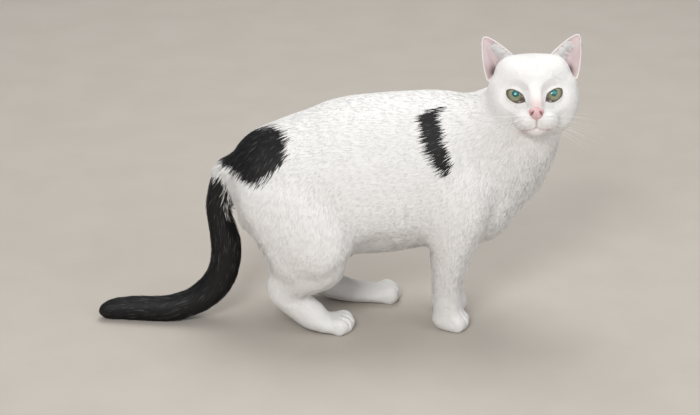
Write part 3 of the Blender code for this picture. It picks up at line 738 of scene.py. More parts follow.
def blackness(points, soft=3.2):
    """From 0 on white hair to 1 on black hair."""
    local = points - SHIFT
    flat = in_picture(points)
    wander = EDGE_WANDER * ripple(points, 0.018, 3)
    rump, stripe, tail = (
        ease(-soft, soft, depth_inside(flat, outline) + wander)
        for outline in (RUMP_PATCH, SHOULDER_STRIPE, TAIL_PATCH)
    )
    rump *= ease(0.018, 0.008, local[:, 1]) * (local[:, 2] > 0.15)
    stripe *= ease(-0.002, -0.010, local[:, 1])
    path = np.array(TAIL)
    nearest = np.full(len(points), 9.0)
    for k in np.linspace(0, len(path) - 1, 61):
        spot = [np.interp(k, range(len(path)), path[:, axis]) for axis in range(3)]
        nearest = np.minimum(nearest, np.linalg.norm(local - spot, axis=1))
    streaks = TAIL_STREAKS * ease(219, 230, flat[:, 0]) * ease(222, 198, flat[:, 1])
    tail *= ease(0.027, 0.022, nearest) * (1 - streaks)
    return np.maximum.reduce([rump, stripe, tail])


# Skin

# Where the skin is drawn in or pushed out: its place, by how much, and how far round it
TAIL_ROOT = (-0.1480, 0.0, 0.1560)
TAIL_ROOT_SLIM = 0.0030
TAIL_ROOT_ROUND = 0.020
BUTTOCK = (-0.1060, 0.0, 0.1280)
BUTTOCK_FULL = 0.0040
BUTTOCK_ROUND = 0.024
# The skull under the ears, as balls with middles and radii: cranium, crown and temple, the last two paired
SKULL_CAP = (
    ((0, 0.0080, 0.0060), (0.0395, 0.0410, 0.0352), False),
    ((0.0180, 0.0050, 0.0180), (0.0217, 0.0282, 0.0222), True),
    ((0.0270, 0.0040, 0.0050), (0.0197, 0.0242, 0.0190), True),
)
# How deep the skin lies inside the solids, as part of the coat's height
COAT_DEPTH = 0.95
# How far round face, eyes and feet the skin is split, the face in two rounds and the eyes in a third
FACE_MIDDLE = (0, -0.022, -0.012)
FACE_REACH = (0.034, 0.023)
FACE_SMOOTH_REACH = 0.030
EYE_REACH = 0.0152
FOOT_REACH = 0.019
# The grooves between toes, across a foot
TOE_GROOVES = (-0.0080, 0.0, 0.0080)
TOE_GROOVE_WIDE = 0.0011
TOE_GROOVE_DEEP = 0.0017
NOSE_BED_DEEP = 0.0042
MOUTH_DEEP = 0.0012
PAD_FULL = 0.0008


def ear_sheet(side):
    """The cupped inside of an ear, as an open sheet whose faces look out of the cup."""
    bm = bmesh.new()
    bmesh.ops.create_grid(bm, x_segments=26, y_segments=30, size=1)
    axis, span = EAR_AXIS * 0.985, EAR_HALF * 0.97
    for vert in bm.verts:
        s, t = vert.co.x, -0.40 + 1.40 * (vert.co.y + 1) / 2
        width = float(ear_width(s, t))
        inset = 0.86 if t < 0 else 1
        ridges = 0.0005 * math.sin(9 * s) * math.sin(math.pi * min(max(t, 0) * 1.6, 1))
        back = Vector((0, ear_depth(s, t, width) + ridges, 0))
        vert.co = mirrored(EAR_MIDDLE + axis * t + span * s * width * inset + back, side)
    bmesh.ops.remove_doubles(bm, verts=bm.verts, dist=0.00015)
    bm.transform(HEAD)
    bmesh.ops.recalc_face_normals(bm, faces=bm.faces)
    ahead = HEAD.to_3x3() @ Vector((0, -1, 0))
    if sum((face.normal * face.calc_area() for face in bm.faces), Vector()).dot(ahead) < 0:
        bmesh.ops.reverse_faces(bm, faces=bm.faces)
    return bm


def ear_leaf(side):
    """The ear's own thin wall, rounded at its rim."""
    bm = ear_sheet(side)
    bmesh.ops.solidify(bm, geom=bm.faces[:], thickness=EAR_WALL)
    bmesh.ops.recalc_face_normals(bm, faces=bm.faces)
    leaf = shown("ear_leaf", mesh_of(bm, "ear_leaf"))
    rounding = leaf.modifiers.new("rounding", "SUBSURF")
    rounding.levels = rounding.render_levels = 1
    return applied(leaf)


def flesh():
    """One closed surface over every solid but the ears, and over the skull under the ears."""
    bm = bmesh.new()
    for name, node in NODES.items():
        if not name.startswith("ear_"):
            bm.from_mesh(node.data)
    bmesh.ops.remove_doubles(bm, verts=bm.verts, dist=0.00001)
    for at, radii, paired in SKULL_CAP:
        for side in (-1, 1) if paired else (1,):
            place = HEAD @ Matrix.Translation(mirrored(at, side)) @ Matrix.Diagonal((*radii, 1))
            bmesh.ops.create_icosphere(bm, subdivisions=4, radius=1, matrix=place)
    skin = shown("cat_skin", mesh_of(bm, "cat_skin"))
    remesh = skin.modifiers.new("voxels", "REMESH")
    remesh.mode, remesh.voxel_size = "VOXEL", SKIN_VOXEL
    return applied(skin)


def smoothed(skin):
    """Smooths the skin, but less on the muzzle and the feet."""
    points = places(skin.data)
    on_head = into(HEAD, points)
    face = np.clip(1.7 - np.linalg.norm(on_head - (0, -0.034, -0.018), axis=1) / 0.024, 0, 1)
    foot = np.clip(1.5 - points[:, 2] / 0.022, 0, 1) * (points[:, 0] > -0.08)
    weights = 1 - 0.80 * np.maximum(face, foot)
    soft = skin.vertex_groups.new(name="soft")
    for index, weight in enumerate(np.round(weights, 2)):
        soft.add([index], float(weight), "REPLACE")
    even = skin.modifiers.new("even", "SMOOTH")
    even.factor, even.iterations, even.vertex_group = 0.5, SKIN_SMOOTHING, "soft"
    applied(skin)
    skin.vertex_groups.clear()


def body_skin():
    """One closed skin inside the solids by the depth of the coat, with the ears joined on."""
    skin = flesh()
    smoothed(skin)
    points = places(skin.data)
    _, _, rise, _ = coat_at(points)
    local = points - SHIFT
    slimmer = TAIL_ROOT_SLIM * np.exp(-(((local - TAIL_ROOT) / TAIL_ROOT_ROUND) ** 2).sum(1))
    depth = rise * COAT_DEPTH + slimmer
    fuller = BUTTOCK_FULL * np.exp(-(((local - BUTTOCK) / BUTTOCK_ROUND) ** 2).sum(1))
    depth -= fuller * (local[:, 0] > -0.118)
    ground = ease(0.0, 0.006, points[:, 2])
    put(skin.data, points - normals(skin.data) * (depth * ground)[:, None])
    for side in (-1, 1):
        leaf = ear_leaf(side)
        join = skin.modifiers.new("ear", "BOOLEAN")
        join.operation, join.solver, join.object = "UNION", "MANIFOLD", leaf
        applied(skin)
        bpy.data.objects.remove(leaf)
    return skin


def finer_face(skin):
    """Splits the skin finely on the feet, and more finely round eyes, nose and mouth, to be shaped."""
    feet = [np.array((*foot, FOOT_HEIGHT)) + SHIFT for foot in FEET]
    eyes = [np.array(HEAD @ mirrored(EYE_AT, side)) for side in (-1, 1)]

    def reached(at, spots, reach):
        return np.minimum.reduce([np.linalg.norm(at - spot, axis=1) for spot in spots]) < reach

    for level in range(3):
        bm = bmesh.new()
        bm.from_mesh(skin.data)
        at = np.array([vert.co for vert in bm.verts])
        if level < len(FACE_REACH):
            on_head = into(HEAD, at)
            near = reached(on_head, [FACE_MIDDLE], FACE_REACH[level]) & (on_head[:, 1] < -0.004)
        else:
            near = reached(at, eyes, EYE_REACH)
        if level == 0:
            near |= reached(at, feet, FOOT_REACH)
        edges = [edge for edge in bm.edges if near[edge.verts[0].index] and near[edge.verts[1].index]]
        bmesh.ops.subdivide_edges(bm, edges=edges, cuts=1, use_grid_fill=True)
        at = np.array([vert.co for vert in bm.verts])
        face = reached(into(HEAD, at), [FACE_MIDDLE], FACE_SMOOTH_REACH)
        soft = [vert for vert in bm.verts if face[vert.index]]
        bmesh.ops.smooth_vert(bm, verts=soft, factor=0.5, use_axis_x=True, use_axis_y=True, use_axis_z=True)
        large = [face for face in bm.faces if len(face.verts) > 4]
        bmesh.ops.triangulate(bm, faces=large, ngon_method="BEAUTY")
        bm.to_mesh(skin.data)
        bm.free()
    skin.data.update()


def shape_lids(points):
    """Lays the lids on the eyeballs and up the nose's side to the tear duct, and opens them over each ball.

    Gives the moved points, and how far each belongs to a lid's rim and to the inside of the opening.
    """
    rim, corner = np.zeros(len(points)), np.zeros(len(points))
    for side in (-1, 1):
        at = into(eye_frame(side), points)
        away = np.linalg.norm(at, axis=1)
        off = np.hypot(at[:, 0], at[:, 2])
        here = (at[:, 1] < 0.002) & (away < LID_REACH * 1.8) & (off < LID_REACH)
        across = (-side * at[:, 0] - OPENING_INWARDS) / OPENING_LONG
        inner = ease(0.30, 0.75, across)[:, None]
        slope = at.copy()
        slope[:, 1] = -(DUCT_FROM + DUCT_RISE * (across - 0.45))
        target = unit(at) * (EYE_RADIUS + LID_OVER_BALL) * (1 - inner) + slope * inner
        at[here] += (target - at)[here] * ease(LID_REACH, LID_FLAT, off)[here, None]
        _, across, half, past, _ = past_lids(out_of(eye_frame(side), at), side)
        snap = here & (np.abs(past) < 0.00022) & (np.abs(across) < 0.97)
        at[snap, 2] = np.sign(at[snap, 2]) * half[snap]
        inside = here & (past < -0.00005)
        fold = LID_FOLD * ease(0.0006, 0.0030, past)
        fold += LID_EDGE * np.exp(-(((past - 0.0012) / 0.0007) ** 2))
        at[:, 1] -= fold * here * ~inside * ease(LID_REACH, LID_FLAT, off)
        sunk = unit(at) * (EYE_RADIUS - BEHIND_OPENING)
        wedge = at + (0, 0.0009, 0)
        corner_part = ease(0.62, 0.86, across)[:, None]
        at = np.where(inside[:, None], sunk * (1 - corner_part) + wedge * corner_part, at)
        points = np.where(here[:, None], out_of(eye_frame(side), at), points)
        rim = np.maximum(rim, here * ease(0.0016, 0.0003, past))
        corner = np.maximum(corner, inside)
    return points, rim, corner


def shape_toes(points):
    """Grooves between the four toes of each foot, and a bed for the nose's leather on the muzzle."""
    for (x, y), turn in zip(FEET, FEET_TURN):
        place = Matrix.Translation((x + SHIFT[0], y + SHIFT[1], 0)) @ Matrix.Rotation(turn, 4, "Z")
        at = into(place, points)
        in_foot = (np.abs(at[:, 1]) < 0.022) & (at[:, 0] < 0.030) & (at[:, 2] < 0.030)
        here = ease(0.001, 0.010, at[:, 0]) * in_foot
        groove = sum(np.exp(-(((at[:, 1] - mid) / TOE_GROOVE_WIDE) ** 2)) for mid in TOE_GROOVES)
        depth = TOE_GROOVE_DEEP * groove * here * ease(0.0, 0.004, at[:, 2])
        at[:, 0] -= depth * 0.8
        at[:, 2] -= depth * 0.5
        points = np.where((here > 0)[:, None], out_of(place, at), points)
    at = into(NOSE, points)
    over = np.linalg.norm(at[:, [0, 2]] / (NOSE_SIZE[0] * 0.95, NOSE_SIZE[2] * 0.95), axis=1)
    at[:, 1] += NOSE_BED_DEEP * ease(1.0, 0.75, over) * (np.abs(at[:, 1]) < 0.012)
    return out_of(NOSE, at)


def shape_muzzle(points):
    """The cleft below the nose, the line of the mouth, and the fullness of the pads on both sides.

    Gives the moved points, and how far each lies in the line and in the softer shade along it.
    """
    at = into(HEAD, points)
    front = ease(-0.018, -0.026, at[:, 1])
    flat = at[:, [0, 2]].copy()
    flat[:, 0] = np.abs(flat[:, 0])
    lip, along = line_gap(flat, LIP)
    cleft, _ = line_gap(flat, CLEFT)
    mouth = ease(0.0011, 0.0, lip) * (1 - 0.5 * ease(0.6, 1.0, along))
    line = np.maximum(mouth, 0.8 * ease(0.0011, 0.0, cleft)) * front
    round_mouth = ease(0.0030, 0.0008, lip) * (1 - ease(0.75, 1.0, along))
    shadow = np.maximum(round_mouth, ease(0.0024, 0.0008, cleft)) * front
    pad = ease(0.0100, 0.0030, np.hypot(flat[:, 0] - 0.0085, (flat[:, 1] + 0.0300) * 1.3)) * front
    at[:, 1] += MOUTH_DEEP * line - PAD_FULL * pad
    return out_of(HEAD, at), line, shadow


def ear_cup(points):
    """1 on the inside of the ears' cups, and how far each place lies across and along its cup."""
    cup = np.zeros(len(points))
    across, along = ear_flat(into(HEAD, points))
    for side in (-1, 1):
        bm = ear_sheet(side)
        tree = BVHTree.FromBMesh(bm)
        bm.free()
        for k in np.nonzero((along > -0.2) & (np.abs(across) < 1.3))[0]:
            gap = tree.find_nearest(points[k], 0.001)[3]
            if gap is not None and gap < 0.00045:
                cup[k] = 1
    cup = cup * ease(-0.08, 0.06, along) * ease(1.02, 0.97, along) * ease(1.02, 0.86, np.abs(across))
    return cup, across, along


def near_bridge(on_head, wide, tall, front):
    """1 on the short hair just over the nose, fading out to its sides."""
    across, up = on_head[:, 0] / wide, (on_head[:, 2] + 0.0140) / tall
    return np.exp(-(across**2) - up**2) * (on_head[:, 1] < front)


def ordered_and_unwrapped(skin):
    """Triangles in the same order on each run, and a bake layout of their own."""
    bm = bmesh.new()
    bm.from_mesh(skin.data)
    bmesh.ops.triangulate(bm, faces=bm.faces, quad_method="SHORT_EDGE")
    ordered = sorted(bm.faces, key=lambda face: sorted(vert.index for vert in face.verts))
    rank = {face: place for place, face in enumerate(ordered)}
    bm.faces.sort(key=lambda face: rank[face])
    bm.to_mesh(skin.data)
    bm.free()
    bpy.context.view_layer.objects.active = skin
    skin.select_set(True)
    bpy.ops.object.mode_set(mode="EDIT")
    bpy.ops.mesh.select_all(action="SELECT")
    bpy.ops.uv.smart_project(angle_limit=math.radians(66), island_margin=0.002)
    bpy.ops.object.mode_set(mode="OBJECT")
    skin.data.uv_layers[0].name = "OFBake"


def finished_skin():
    skin = body_skin()
    finer_face(skin)
    points = shape_toes(places(skin.data))
    points, rim, corner = shape_lids(points)
    points, line, shadow = shape_muzzle(points)
    put(skin.data, points)
    cup, across, along = ear_cup(points)
    at = into(HEAD, points)
    bridge = near_bridge(at, 0.0052, 0.0060, -0.030)
    # Painted shade in the ear's lower pocket
    ear_pocket_shade = cup * np.exp(-(((across - 0.42) / 0.30) ** 2) - ((along - 0.10) / 0.13) ** 2)
    # The cups, the lids' rims and the nose's bridge are pink of their own; the mouth's shadow mask paints
    # lilac-pink shade along the mouth's line and the cleft
    pink = np.maximum.reduce([cup * 0.92, rim * 0.5, bridge * 0.8, shadow * 0.55])
    # Painted shade in the ear's lower pocket, along the mouth's line and inside the lids' opening
    hollow_shade = np.maximum.reduce([ear_pocket_shade * 0.8, line * 0.6, corner])
    note(skin.data, "black", blackness(points))
    note(skin.data, "pink", np.clip(pink, 0, 1))
    note(skin.data, "hollow_shade", np.clip(hollow_shade, 0, 1))
    note(skin.data, "cup", cup)
    ordered_and_unwrapped(skin)
    skin.data.materials.clear()
    skin.data.materials.append(skin_finish())
    skin.data.shade_smooth()
    return skin


# Coat

def tuft_pattern():
    """A three-sided blade of seven corners: three at its root, three at its middle and the tip.

    Gives its triangles as corners, and their places in the bake, from -0.5 to 0.5.
    """
    faces, patch = [(0, 2, 1)], [((0, 0), (0.66, 0), (0.33, 0))]
    for k in range(3):
        m = (k + 1) % 3
        low, high = k / 3, (k + 1) / 3
        faces += [(k, m, m + 3), (k, m + 3, k + 3), (k + 3, m + 3, 6)]
        patch += [
            ((low, 0), (high, 0), (high, 0.5)),
            ((low, 0), (high, 0.5), (low, 0.5)),
            ((low, 0.5), (high, 0.5), ((low + high) / 2, 1)),
        ]
    return np.array(faces), np.array(patch) - 0.5


TUFT_FACES, TUFT_PATCH = tuft_pattern()
TUFT_CORNERS = 7
# From root to tip, what the material reads as the place along a tuft
TUFT_TIPS = (0, 0, 0, 0.6, 0.6, 0.6, 1.0)
# Each side's place across a tuft and over it, in halves of its width
TUFT_SIDES = ((-1.0, -0.30), (1.0, -0.30), (0.0, 0.45))
ROOT_SUNK = 0.0004
FLOOR_GAP = 0.0007


def tufts_wanted(mesh, corners, centre, area):
    """How many tufts each triangle carries. Lids, lips, nose, soles and the ears' cups stay bare."""
    cup = rows_of(mesh.attributes["cup"].data, "value", 1)[:, 0]
    _, length, _, width = coat_at(centre)
    on_head = into(HEAD, centre)
    bare_cup = cup[corners].max(1) >= 0.5
    wanted = area * COVER / (length * width) * ~bare_cup * (centre[:, 2] > FLOOR_GAP)
    wanted *= np.where(np.linalg.norm(on_head, axis=1) < 0.065, 0.55, 1.0) * (lip_gap(on_head) > 0.0006)
    across, along = ear_flat(on_head)
    wide, by_ear = np.abs(across), np.abs(on_head[:, 1]) < 0.03
    rim = (along > 0) & (np.maximum(wide, along) > 0.93) & (wide < 1.4)
    notch = (across > 0.6) & (across < 1.4) & (np.abs(along) < 0.16)
    wanted[(rim | notch) & by_ear] = 0
    for side in (-1, 1):
        _, _, _, past, near = past_lids(centre, side)
        wanted[near & (past < 0.0006)] = 0
    wanted[np.linalg.norm(into(NOSE, centre) / (0.0072, 0.0080, 0.0064), axis=1) < 1] = 0
    return wanted


def sown(skin):
    """Roots spread evenly over the skin, closer where tufts are small."""
    mesh = skin.data
    mesh.calc_loop_triangles()
    count = len(mesh.loop_triangles)
    corners = rows_of(mesh.loop_triangles, "vertices", 3, np.int32)
    loops = rows_of(mesh.loop_triangles, "loops", 3, np.int32)
    turned = (corners.argmin(1)[:, None] + np.arange(3)) % 3
    corners, loops = np.take_along_axis(corners, turned, 1), np.take_along_axis(loops, turned, 1)
    spots = places(mesh)[corners]
    area = np.linalg.norm(np.cross(spots[:, 1] - spots[:, 0], spots[:, 2] - spots[:, 0]), axis=1) / 2
    wanted = tufts_wanted(mesh, corners, spots.mean(1), area)
    whole = np.floor(wanted + draw.random(count)).astype(int)
    face = np.repeat(np.arange(count), whole)
    mix = draw.dirichlet((1, 1, 1), len(face))[:, :, None]
    roots = (spots[face] * mix).sum(1)
    facing = unit((normals(mesh)[corners[face]] * mix).sum(1))
    uv = rows_of(mesh.uv_layers["OFBake"].data, "uv", 2)
    return roots, facing, (uv[loops[face]] * mix).sum(1)


# How unevenly tufts lean, and how their lengths and rises spread round what the place asks for
LEAN_TOGETHER = 0.14
LEAN_ALONE = 0.07
LENGTHS = (0.75, 1.15)
RISES = (0.35, 1.15)
# How far the longest hair hangs, and how high a tuft's middle stands as part of its rise
HANG = 0.004
MIDDLE_RISE = 0.45


def on_skin(tree, points, facing):
    """The nearest place on the skin, and its normal there unless that faces away."""
    found, ways = points.copy(), facing.copy()
    for k, point in enumerate(points):
        hit, way, _, gap = tree.find_nearest(point, 0.012)
        if hit is not None and way.dot(Vector(facing[k])) > 0.1:
            found[k], ways[k] = hit, way
    return found, ways


def grown(skin):
    """Every tuft's root, middle and tip, lying along the skin."""
    roots, up, spot_uv = sown(skin)
    lie, length, rise, width = coat_at(roots)
    waves = np.stack([ripple(roots, 0.030, seed) for seed in (11, 12, 13)], 1)
    lie = unit(lie + LEAN_TOGETHER * waves + draw.normal(0, LEAN_ALONE, lie.shape))
    lie = unit(lie - (lie * up).sum(1)[:, None] * up)
    length = length * draw.uniform(*LENGTHS, len(roots)) * (1 + 0.10 * ripple(roots, 0.013, 14))
    rise = rise * draw.uniform(*RISES, len(roots)) * (1 + 0.15 * ripple(roots, 0.010, 15))
    for side in (-1, 1):
        _, _, _, past, near = past_lids(roots + lie * length[:, None], side)
        length = np.where(near & (past < 0.0002), length * 0.35, length)
    tree = tree_over(skin)
    half, half_up = on_skin(tree, roots + lie * (length * 0.5)[:, None], up)
    turn = coat_at(half)[0]
    turn = unit(0.6 * unit(turn - (turn * half_up).sum(1)[:, None] * half_up) + lie)
    end, end_up = on_skin(tree, half + turn * (length * 0.5)[:, None], half_up)
    hang = ease(0.0036, 0.0052, rise)[:, None] * np.array((0, 0, -HANG))
    middle = half + half_up * (rise * MIDDLE_RISE)[:, None] + hang * 0.3
    tip = end + end_up * rise[:, None] + hang
    tip[:, 2] = np.maximum(tip[:, 2], 0.0004)
    middle[:, 2] = np.maximum(middle[:, 2], 0.0006)
    return roots, up, lie, middle, half_up, tip, end_up, width, spot_uv


def blades(roots, up, lie, middle, middle_up, tip, tip_up, width):
    """Each tuft's corners, and the way they look: mostly as the skin beneath does, so the coat is soft."""
    side = unit(np.cross(up, lie))
    middle_side = unit(np.cross(middle_up, tip - roots))
    out, look = np.empty((len(roots), TUFT_CORNERS, 3)), np.empty((len(roots), TUFT_CORNERS, 3))
    sunk = roots - up * ROOT_SUNK
    half = (width * 0.5)[:, None]
    for k, (across, lift) in enumerate(TUFT_SIDES):
        out[:, k] = sunk + side * across * half * 0.8 + up * lift * half
        out[:, 3 + k] = middle + middle_side * across * half + middle_up * lift * half
        look[:, k] = unit(up + 0.35 * across * side)
        look[:, 3 + k] = unit(middle_up + 0.35 * across * middle_side)
    out[:, 6], look[:, 6] = tip, tip_up
    return out, look


def coat_piece(name, corners, look, spot_uv, marks, material):
    """One joined mesh of tufts. A tuft's patch in the bake lies at its root's place on the unwrapped skin."""
    count = len(corners)
    mesh = bpy.data.meshes.new(name)
    mesh.vertices.add(count * TUFT_CORNERS)
    mesh.vertices.foreach_set("co", corners.astype(np.float32).ravel())
    index = (TUFT_FACES[None] + TUFT_CORNERS * np.arange(count)[:, None, None]).reshape(-1)
    mesh.loops.add(len(index))
    mesh.loops.foreach_set("vertex_index", index.astype(np.int32))
    mesh.polygons.add(len(index) // 3)
    mesh.polygons.foreach_set("loop_start", np.arange(0, len(index), 3, dtype=np.int32))
    mesh.update(calc_edges=True)
    mesh.shade_smooth()
    mesh.normals_split_custom_set_from_vertices(look.reshape(-1, 3).tolist())
    uv = (spot_uv[:, None, None, :] + TUFT_PATCH[None] * PATCH).reshape(-1)
    mesh.uv_layers.new(name="OFBake").data.foreach_set("uv", uv.astype(np.float32))
    for key, values in marks.items():
        note(mesh, key, np.repeat(values, TUFT_CORNERS))
    note(mesh, "tip", np.tile(TUFT_TIPS, count))
    piece = shown(name, mesh, material)
    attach(piece, "root")
    return piece


# Where the coat is parted into pieces, in the body's own places
HEAD_PIECE_REACH = 0.062
TAIL_PIECE_BEHIND = -0.128
LEG_PIECES_BELOW = 0.076
CHEST_PIECES_AHEAD = 0.085


def coat(skin, white_coat, black_coat):
    """The whole coat, in pieces by part of the body and by colour."""
    roots, up, lie, middle, middle_up, tip, tip_up, width, spot_uv = grown(skin)
    corners, look = blades(roots, up, lie, middle, middle_up, tip, tip_up, width)
    over = roots * 0.45 + tip * 0.55
    black = draw.random(len(roots)) < blackness(over, 4.0)
    tone = draw.random(len(roots))
    at = into(HEAD, roots)
    nose_side = near_bridge(at, 0.0055, 0.0065, -0.028)
    # Partly painted shade: lilac-pink on the tufts along the mouth's line
    lips = ease(0.0030, 0.0010, lip_gap(at))
    pink_and_mouth_shade = np.clip(np.maximum(0.75 * nose_side, 0.40 * lips), 0, 1)
    local = roots - SHIFT
    head = np.linalg.norm(at - (0, 0, -0.002), axis=1) < HEAD_PIECE_REACH
    tail = (local[:, 0] < TAIL_PIECE_BEHIND) & ~head
    legs = (local[:, 2] < LEG_PIECES_BELOW) & ~tail & ~head
    fore = (local[:, 0] > CHEST_PIECES_AHEAD) & ~head & ~legs
    sides = ~(head | tail | legs | fore)
    right = local[:, 1] < 0
    groups = {
        "head": head,
        "tail": tail,
        "legs": legs,
        "chest_right": fore & right,
        "chest_left": fore & ~right,
        "side_right": sides & right,
        "side_left": sides & ~right,
    }
    for group, chosen in groups.items():
        for word, colour, material in (("white", ~black, white_coat), ("black", black, black_coat)):
            rows = np.nonzero(chosen & colour)[0]
            if not len(rows):
                continue
            for number, part in enumerate(np.array_split(rows, math.ceil(len(rows) / PIECE_TUFTS)), 1):
                name = f"coat_{group}_{word}_{number}"
                marks = {"tone": tone[part], "pink_and_mouth_shade": pink_and_mouth_shade[part]}
                coat_piece(name, corners[part], look[part], spot_uv[part], marks, material)


WISPS = 300
WISP_WIDTH = 0.00045


def ear_wisps(material, skin):
    """Longer white hair that crosses each ear's cup from its inner edge."""
    rows = []
    for side in (-1, 1):
        for _ in range(WISPS):
            t = draw.uniform(-0.06, 0.62)
            s = -draw.uniform(0.60, 0.97)
            width = float(ear_width(s, t))
            back = Vector((0, ear_depth(s, t, width) - 0.0006, 0))
            root = EAR_MIDDLE + EAR_AXIS * t + EAR_HALF * s * width + back
            long = draw.uniform(0.006, 0.0130) * (1 - 0.5 * max(t, 0))
            way = (EAR_HALF.normalized() + EAR_AXIS.normalized() * draw.uniform(0.05, 0.55)).normalized()
            lift = Vector((0, -1, 0))
            bend = root + way * long * 0.5 + lift * long * draw.uniform(0.05, 0.16)
            end = root + way * long + lift * long * draw.uniform(-0.05, 0.14)
            rows.append([mirrored(p, side) for p in (root, bend, end)] + [mirrored(way, side)])
    rows = np.array(rows)
    roots, middles, tips = (out_of(HEAD, rows[:, k]) for k in range(3))
    turn = np.array(HEAD)[:3, :3].T
    lie, up = rows[:, 3] @ turn, np.tile((0.0, -1.0, 0.0), (len(rows), 1)) @ turn
    corners, look = blades(roots, up, lie, middles, up, tips, up, np.full(len(rows), WISP_WIDTH))
    uv = np.tile((0.5, 0.5), (len(rows), 1))
    tree = tree_over(skin)
    flat = rows_of(skin.data.uv_layers["OFBake"].data, "uv", 2)
    for k, root in enumerate(roots):
        face = tree.find_nearest(root)[2]
        uv[k] = flat[skin.data.polygons[face].loop_start]
    marks = {"tone": draw.random(len(rows)), "pink_and_mouth_shade": np.zeros(len(rows))}
    coat_piece("coat_ear_wisps", corners, look, uv, marks, material)


# Eyes, lids' rims, nose and whiskers

def eye(side, material):
    """An eyeball whose pole looks at the viewer, with a slightly raised cornea."""
    word = "right" if side < 0 else "left"
    bm = bmesh.new()
    bmesh.ops.create_uvsphere(bm, u_segments=64, v_segments=48, radius=EYE_RADIUS)
    bm.transform(Matrix.Rotation(math.radians(90), 4, "X"))
    mesh = mesh_of(bm, f"eyeball_{word}")
    at = places(mesh)
    off = np.where(at[:, 1] < 0, np.hypot(at[:, 0], at[:, 2]), 2 * EYE_RADIUS)
    at *= (1 + CORNEA_BULGE * ease(CORNEA_RADIUS, 0.0, off) * (at[:, 1] < 0))[:, None]
    note(mesh, "off_axis", off * 1000)
    note(mesh, "turn", np.abs(np.arctan2(at[:, 2], at[:, 0])))
    gaze = (
        HEAD
        @ Matrix.Translation(mirrored(EYE_AT, side))
        @ Matrix.Rotation(GAZE_DOWN, 4, "X")
        @ Matrix.Rotation(side * GAZE_INWARDS, 4, "Z")
    )
    put(mesh, out_of(gaze, at))
    ball = shown(f"eyeball_{word}", mesh, material)
    mesh.shade_smooth()
    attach(ball, "root")
    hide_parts(f"eye_{word}")


def tubes(name, strands, material, closed=False, resolution=1):
    """Round strands with a radius at each point, as one mesh."""
    curve = bpy.data.curves.new(name, "CURVE")
    curve.dimensions, curve.bevel_depth, curve.bevel_resolution = "3D", 1.0, resolution
    curve.use_fill_caps = not closed
    for strand in strands:
        spline = curve.splines.new("POLY")
        spline.points.add(len(strand) - 1)
        spline.use_cyclic_u = closed
        for spot, (point, radius) in zip(spline.points, strand):
            spot.co, spot.radius = (*point, 1), radius
    guide = shown(name + "_guide", curve)
    bpy.context.view_layer.update()
    mesh = bpy.data.meshes.new_from_object(guide.evaluated_get(bpy.context.evaluated_depsgraph_get()))
    bpy.data.objects.remove(guide)
    piece = shown(name, mesh, material)
    mesh.shade_smooth()
    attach(piece, "root")
    return piece


RIM_POINTS = 80
RIM_THICK = 0.00048
RIM_THICKER = 0.00012
DUCT_THICK = 0.00055


def lid_rims(material, skin):
    """The thin dark edge of the lids, and the short dark line that runs down from the tear duct."""
    tree = tree_over(skin)
    ahead = HEAD.to_3x3() @ Vector((0, -1, 0))
    for side, word in ((-1, "right"), (1, "left")):
        strand, ring = [], []
        for t in np.linspace(0, 2 * math.pi, RIM_POINTS, endpoint=False):
            across = math.cos(t)
            half = float(half_opening(np.array([across]), np.array([math.sin(t) > 0]))[0])
            x, z = -side * (across * OPENING_LONG + OPENING_INWARDS), half * (1 if math.sin(t) > 0 else -1)
            edge = eye_frame(side) @ Vector((x - side * across * 0.0005, -0.05, z + 0.0006 * math.sin(t)))
            hit = tree.ray_cast(edge, eye_frame(side).to_3x3() @ Vector((0, 1, 0)))[0]
            ring.append((x, (eye_frame(side).inverted() @ hit).y, z))
        ring = np.array(ring)
        ring[:, 1] = sum(np.roll(ring[:, 1], k) for k in range(-3, 4)) / 7
        for x, y, z in ring:
            across = (-side * x - OPENING_INWARDS) / OPENING_LONG
            radius = RIM_THICK + RIM_THICKER * max(0, across) ** 6
            strand.append((eye_frame(side) @ Vector((x, y + 0.0001, z)), radius))
        tubes(f"lid_rim_{word}", [strand], material, closed=True, resolution=2)
        corner = strand[0][0]
        duct = []
        for k in np.linspace(0, 1, 7):
            start = corner + HEAD.to_3x3() @ Vector((-side * 0.0009 * k, 0, -0.0026 * k))
            hit = tree.ray_cast(start + ahead * 0.02, -ahead)[0]
            duct.append((hit or start, DUCT_THICK * (1 - 0.8 * k)))
        tubes(f"tear_duct_{word}", [duct], material)


# The nose leather's hollows, on its left half: a round nostril, the slit beside it, and the wing over them
NOSTRIL_AT = (0.0043, -0.0006)
NOSTRIL_SIZE = (0.0010, 0.0020)
NOSTRIL_LEAN = 0.6
NOSTRIL_DEEP = 0.0024
SLIT_AT = (0.0057, -0.0018)
SLIT_SIZE = (0.0014, 0.0006)
WING_AT = (0.0058, 0.0010)
WING_SIZE = 0.0018
WING_FULL = 0.0004
GROOVE_WIDE = 0.0006
GROOVE_DEEP = 0.0005


